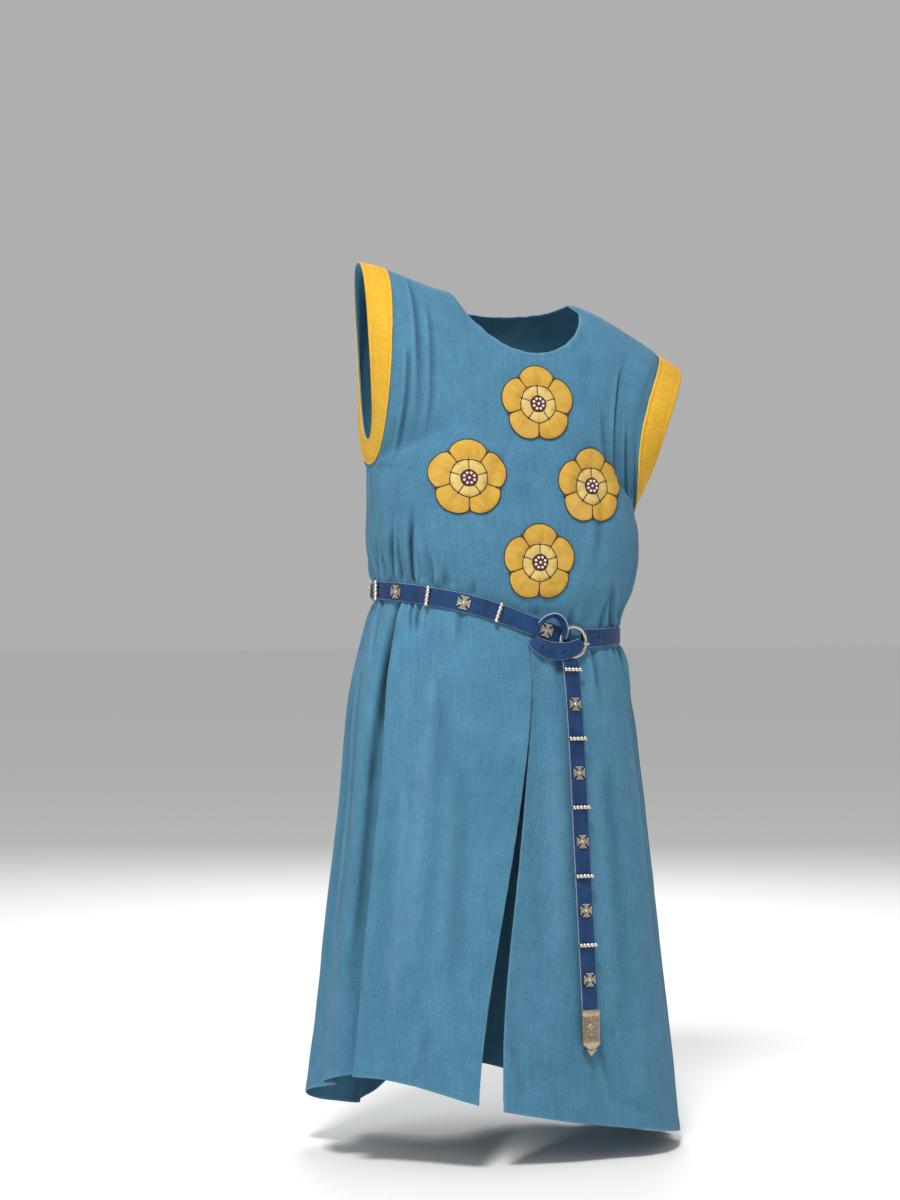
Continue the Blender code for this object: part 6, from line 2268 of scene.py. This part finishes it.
class SURCOAT_OT_finishes(bpy.types.Operator):
    """Make the cloth, leather, thread and metal finishes"""

    bl_idname = "surcoat.finishes"
    bl_label = "Finishes"

    def execute(self, context):
        cloth, roses = context.scene.surcoat_cloth, context.scene.surcoat_roses
        belt = context.scene.surcoat_belt
        # The last colour of each cloth is the pale tone of its turned edges and fold ridges: wear with a
        # painted highlight.
        cloth_finish("blue_canvas", tuple(cloth.blue_deep), tuple(cloth.blue_light),
                     cloth.weave, 1.0, tuple(cloth.blue_worn))
        cloth_finish("yellow_canvas", tuple(cloth.yellow_deep), tuple(cloth.yellow_light),
                     cloth.weave * 0.8, 0.7, (0.86, 0.58, 0.11))
        gold = tuple(roses.gold)
        thread_finish("gold_thread", (0.50, 0.23, 0.012), gold, roses.strand)
        thread_finish("pale_thread", (0.62, 0.36, 0.06), (0.97, 0.78, 0.30), roses.strand)
        thread_finish("madder_thread", (0.045, 0.006, 0.010), tuple(roses.madder), roses.strand)
        thread_finish("dark_cord", (0.010, 0.007, 0.006), (0.055, 0.038, 0.026), 0.0009, 0.6)
        plain_finish("madder_cord", (0.05, 0.007, 0.010), (0.19, 0.028, 0.032), 0.6, 900, 0.0003)
        plain_finish("pearl", (0.62, 0.58, 0.52), (0.90, 0.87, 0.80), 0.18, 300, 0.0001)
        plain_finish("blue_stitch", (0.030, 0.110, 0.180), (0.10, 0.28, 0.40), 0.75, 1600, 0.0002)
        plain_finish("yellow_stitch", (0.55, 0.27, 0.02), (0.90, 0.58, 0.10), 0.75, 1600, 0.0002)
        leather_finish("strap_leather", tuple(belt.leather_deep), tuple(belt.leather_light),
                       (0.38, 0.41, 0.48))
        metal_finish("cast_silver", tuple(belt.silver), (0.52, 0.46, 0.37), (0.045, 0.035, 0.028), 0.30)
        metal_finish("cast_bronze", tuple(belt.bronze), (0.30, 0.235, 0.165), (0.050, 0.034, 0.018), 0.34)
        return {"FINISHED"}


class SURCOAT_OT_panels(bpy.types.Operator):
    """Make the front and the back, with their turned edges, creases and stitches"""

    bl_idname = "surcoat.panels"
    bl_label = "Front and Back"

    def execute(self, context):
        settings = context.scene.surcoat_cloth
        for node, is_front, flat in (("front", True, FRONT_CUT), ("back", False, BACK_CUT)):
            panel = Panel(is_front)
            piece = make_panel(panel, node + "_cloth", settings)
            stitches = stitches_piece(node + "_stitches", seam_stitches(panel))
            dress(stitches, "blue_stitch")
            settle(piece, "blue_cloth", node)
            settle(stitches, "blue_cloth")
        return {"FINISHED"}


class SURCOAT_OT_armbands(bpy.types.Operator):
    """Make the yellow borders of both armholes"""

    bl_idname = "surcoat.armbands"
    bl_label = "Armhole Bands"

    def execute(self, context):
        for side in ("right", "left"):
            node = "armband_" + side
            piece = make_armband(side, node + "_cloth")
            stitches = stitches_piece(node + "_stitches", band_stitches(side))
            dress(stitches, "yellow_stitch")
            settle(piece, "yellow_cloth", node)
            settle(stitches, "yellow_cloth")
        return {"FINISHED"}


class SURCOAT_OT_roses(bpy.types.Operator):
    """Make the four stitched roses on the chest"""

    bl_idname = "surcoat.roses"
    bl_label = "Roses"

    def execute(self, context):
        front = bpy.data.objects["front_cloth"]
        places = [vertex.co for vertex in front.data.vertices]
        chest = BVHTree.FromPolygons(places, [face.vertices for face in front.data.polygons])
        seed, barb = model_seed(), model_barb()
        for rose in ROSES:
            patch = make_rose_patch(rose, chest)
            cords = make_rose_cords(rose, chest)
            pearls, barbs = make_rose_trim(rose, chest, seed, barb)
            settle(patch, "gold_embroidery", rose.name)
            for piece in (cords, pearls, barbs):
                settle(piece, "gold_embroidery")
        for model in (seed, barb):
            bpy.data.objects.remove(model)
        return {"FINISHED"}


class SURCOAT_OT_straps(bpy.types.Operator):
    """Make the leather of the belt: waist, knot and hanging tail"""

    bl_idname = "surcoat.straps"
    bl_label = "Belt Straps"

    def execute(self, context):
        settle(make_waist_strap(), "blue_leather", "belt_waist")
        settle(make_knot_strap("belt_return_strap", RETURN_PATH, RETURN_HOLES_X),
               "blue_leather", "belt_return")
        settle(make_knot_strap("belt_loop_strap", LOOP_PATH, ()), "blue_leather", "belt_loop")
        settle(make_tail_strap(), "blue_leather", "belt_tail")
        return {"FINISHED"}


class SURCOAT_OT_fittings(bpy.types.Operator):
    """Make the beaded bars and the cross studs along the belt"""

    bl_idname = "surcoat.fittings"
    bl_label = "Bars and Studs"

    def execute(self, context):
        settings = context.scene.surcoat_belt
        bar, stud = model_bar(settings), model_stud(settings)
        place_fittings(bar, stud)
        for model in (bar, stud):
            bpy.data.objects.remove(model)
        return {"FINISHED"}


class SURCOAT_OT_buckle(bpy.types.Operator):
    """Make the buckle's ring and tongue and the strap's cast end"""

    bl_idname = "surcoat.buckle"
    bl_label = "Buckle and Strap End"

    def execute(self, context):
        settings = context.scene.surcoat_belt
        settle(make_buckle(settings), "old_silver", "buckle_ring")
        settle(make_tongue(), "old_silver", "buckle_tongue")
        settle(make_strap_end(), "old_bronze", "strap_end")
        return {"FINISHED"}


def area_light(name, place, aim, size, power, colour):
    light = bpy.data.lights.new(name, "AREA")
    light.shape = "DISK"
    light.size = size
    light.energy = power
    light.color = colour
    lamp = bpy.data.objects.new(name, light)
    lamp.location = place
    lamp.rotation_euler = (Vector(aim) - Vector(place)).to_track_quat("-Z", "Y").to_euler()
    bpy.context.scene.collection.objects.link(lamp)


class SURCOAT_OT_stage(bpy.types.Operator):
    """Make the plain floor, the soft studio light and the camera"""

    bl_idname = "surcoat.stage"
    bl_label = "Stage"

    def execute(self, context):
        settings = context.scene.surcoat_stage
        clear_selection()
        bpy.ops.mesh.primitive_plane_add(size=FLOOR_SIZE, location=(0, 0, FLOOR_LEVEL))
        floor = take("floor")
        with Editing(floor) as work:
            work.pick("FACE", lambda f: True)
            bpy.ops.mesh.subdivide(number_cuts=settings.floor_steps)
        finish = Finish("floor", roughness=0.9)
        colour = tuple(settings.floor_colour)
        cloud = finish.grain(1.5, 2.0)
        finish.feed("Base Color", finish.blend(cloud * 0.06, colour, (1.0, 1.0, 1.0)))
        floor.data.materials.append(finish.material)
        world = bpy.data.worlds.new("studio")
        world.use_nodes = True
        background = world.node_tree.nodes["Background"]
        background.inputs["Color"].default_value = (1.0, 1.0, 1.0, 1)
        background.inputs["Strength"].default_value = settings.sky
        context.scene.world = world
        context.scene.view_settings.view_transform = "Standard"
        for name, place, size, share, tint in STUDIO_LIGHTS:
            area_light(name, place, LIGHT_AIM, size, settings.light_power * share, tint)
        camera = bpy.data.cameras.new("camera")
        camera.lens = settings.lens
        camera.sensor_width = 36.0
        camera.clip_end = 200.0
        view = bpy.data.objects.new("camera", camera)
        view.location = CAMERA_PLACE
        view.rotation_euler = (math.pi / 2, 0, math.radians(CAMERA_TURN_DEG))
        context.scene.collection.objects.link(view)
        context.scene.camera = view
        return {"FINISHED"}


class SURCOAT_PT_sidebar(bpy.types.Panel):
    """The surcoat's pieces and their sizes"""

    bl_idname = "SURCOAT_PT_sidebar"
    bl_label = "Medieval Surcoat"
    bl_space_type = "VIEW_3D"
    bl_region_type = "UI"
    bl_category = "Surcoat"

    def draw(self, context):
        scene = context.scene
        for group in (scene.surcoat_cloth, scene.surcoat_roses, scene.surcoat_belt, scene.surcoat_stage):
            box = self.layout.box()
            for name in group.__annotations__:
                box.prop(group, name)
        for operator in STEPS:
            self.layout.operator(operator.bl_idname)


STEPS = (
    SURCOAT_OT_finishes, SURCOAT_OT_panels, SURCOAT_OT_armbands, SURCOAT_OT_roses,
    SURCOAT_OT_straps, SURCOAT_OT_fittings, SURCOAT_OT_buckle, SURCOAT_OT_stage,
)
GROUPS = (SurcoatCloth, SurcoatRoses, SurcoatBelt, SurcoatStage)


def register():
    for item in (*GROUPS, *STEPS, SURCOAT_PT_sidebar):
        bpy.utils.register_class(item)
    bpy.types.Scene.surcoat_cloth = PointerProperty(type=SurcoatCloth)
    bpy.types.Scene.surcoat_roses = PointerProperty(type=SurcoatRoses)
    bpy.types.Scene.surcoat_belt = PointerProperty(type=SurcoatBelt)
    bpy.types.Scene.surcoat_stage = PointerProperty(type=SurcoatStage)


def unregister():
    for name in ("surcoat_cloth", "surcoat_roses", "surcoat_belt", "surcoat_stage"):
        delattr(bpy.types.Scene, name)
    for item in reversed((*GROUPS, *STEPS, SURCOAT_PT_sidebar)):
        bpy.utils.unregister_class(item)


def main():
    register()
    bpy.ops.surcoat.finishes()
    bpy.ops.surcoat.panels()
    bpy.ops.surcoat.armbands()
    bpy.ops.surcoat.roses()
    bpy.ops.surcoat.straps()
    bpy.ops.surcoat.fittings()
    bpy.ops.surcoat.buckle()
    bpy.ops.surcoat.stage()


if __name__ == "__main__":
    main()
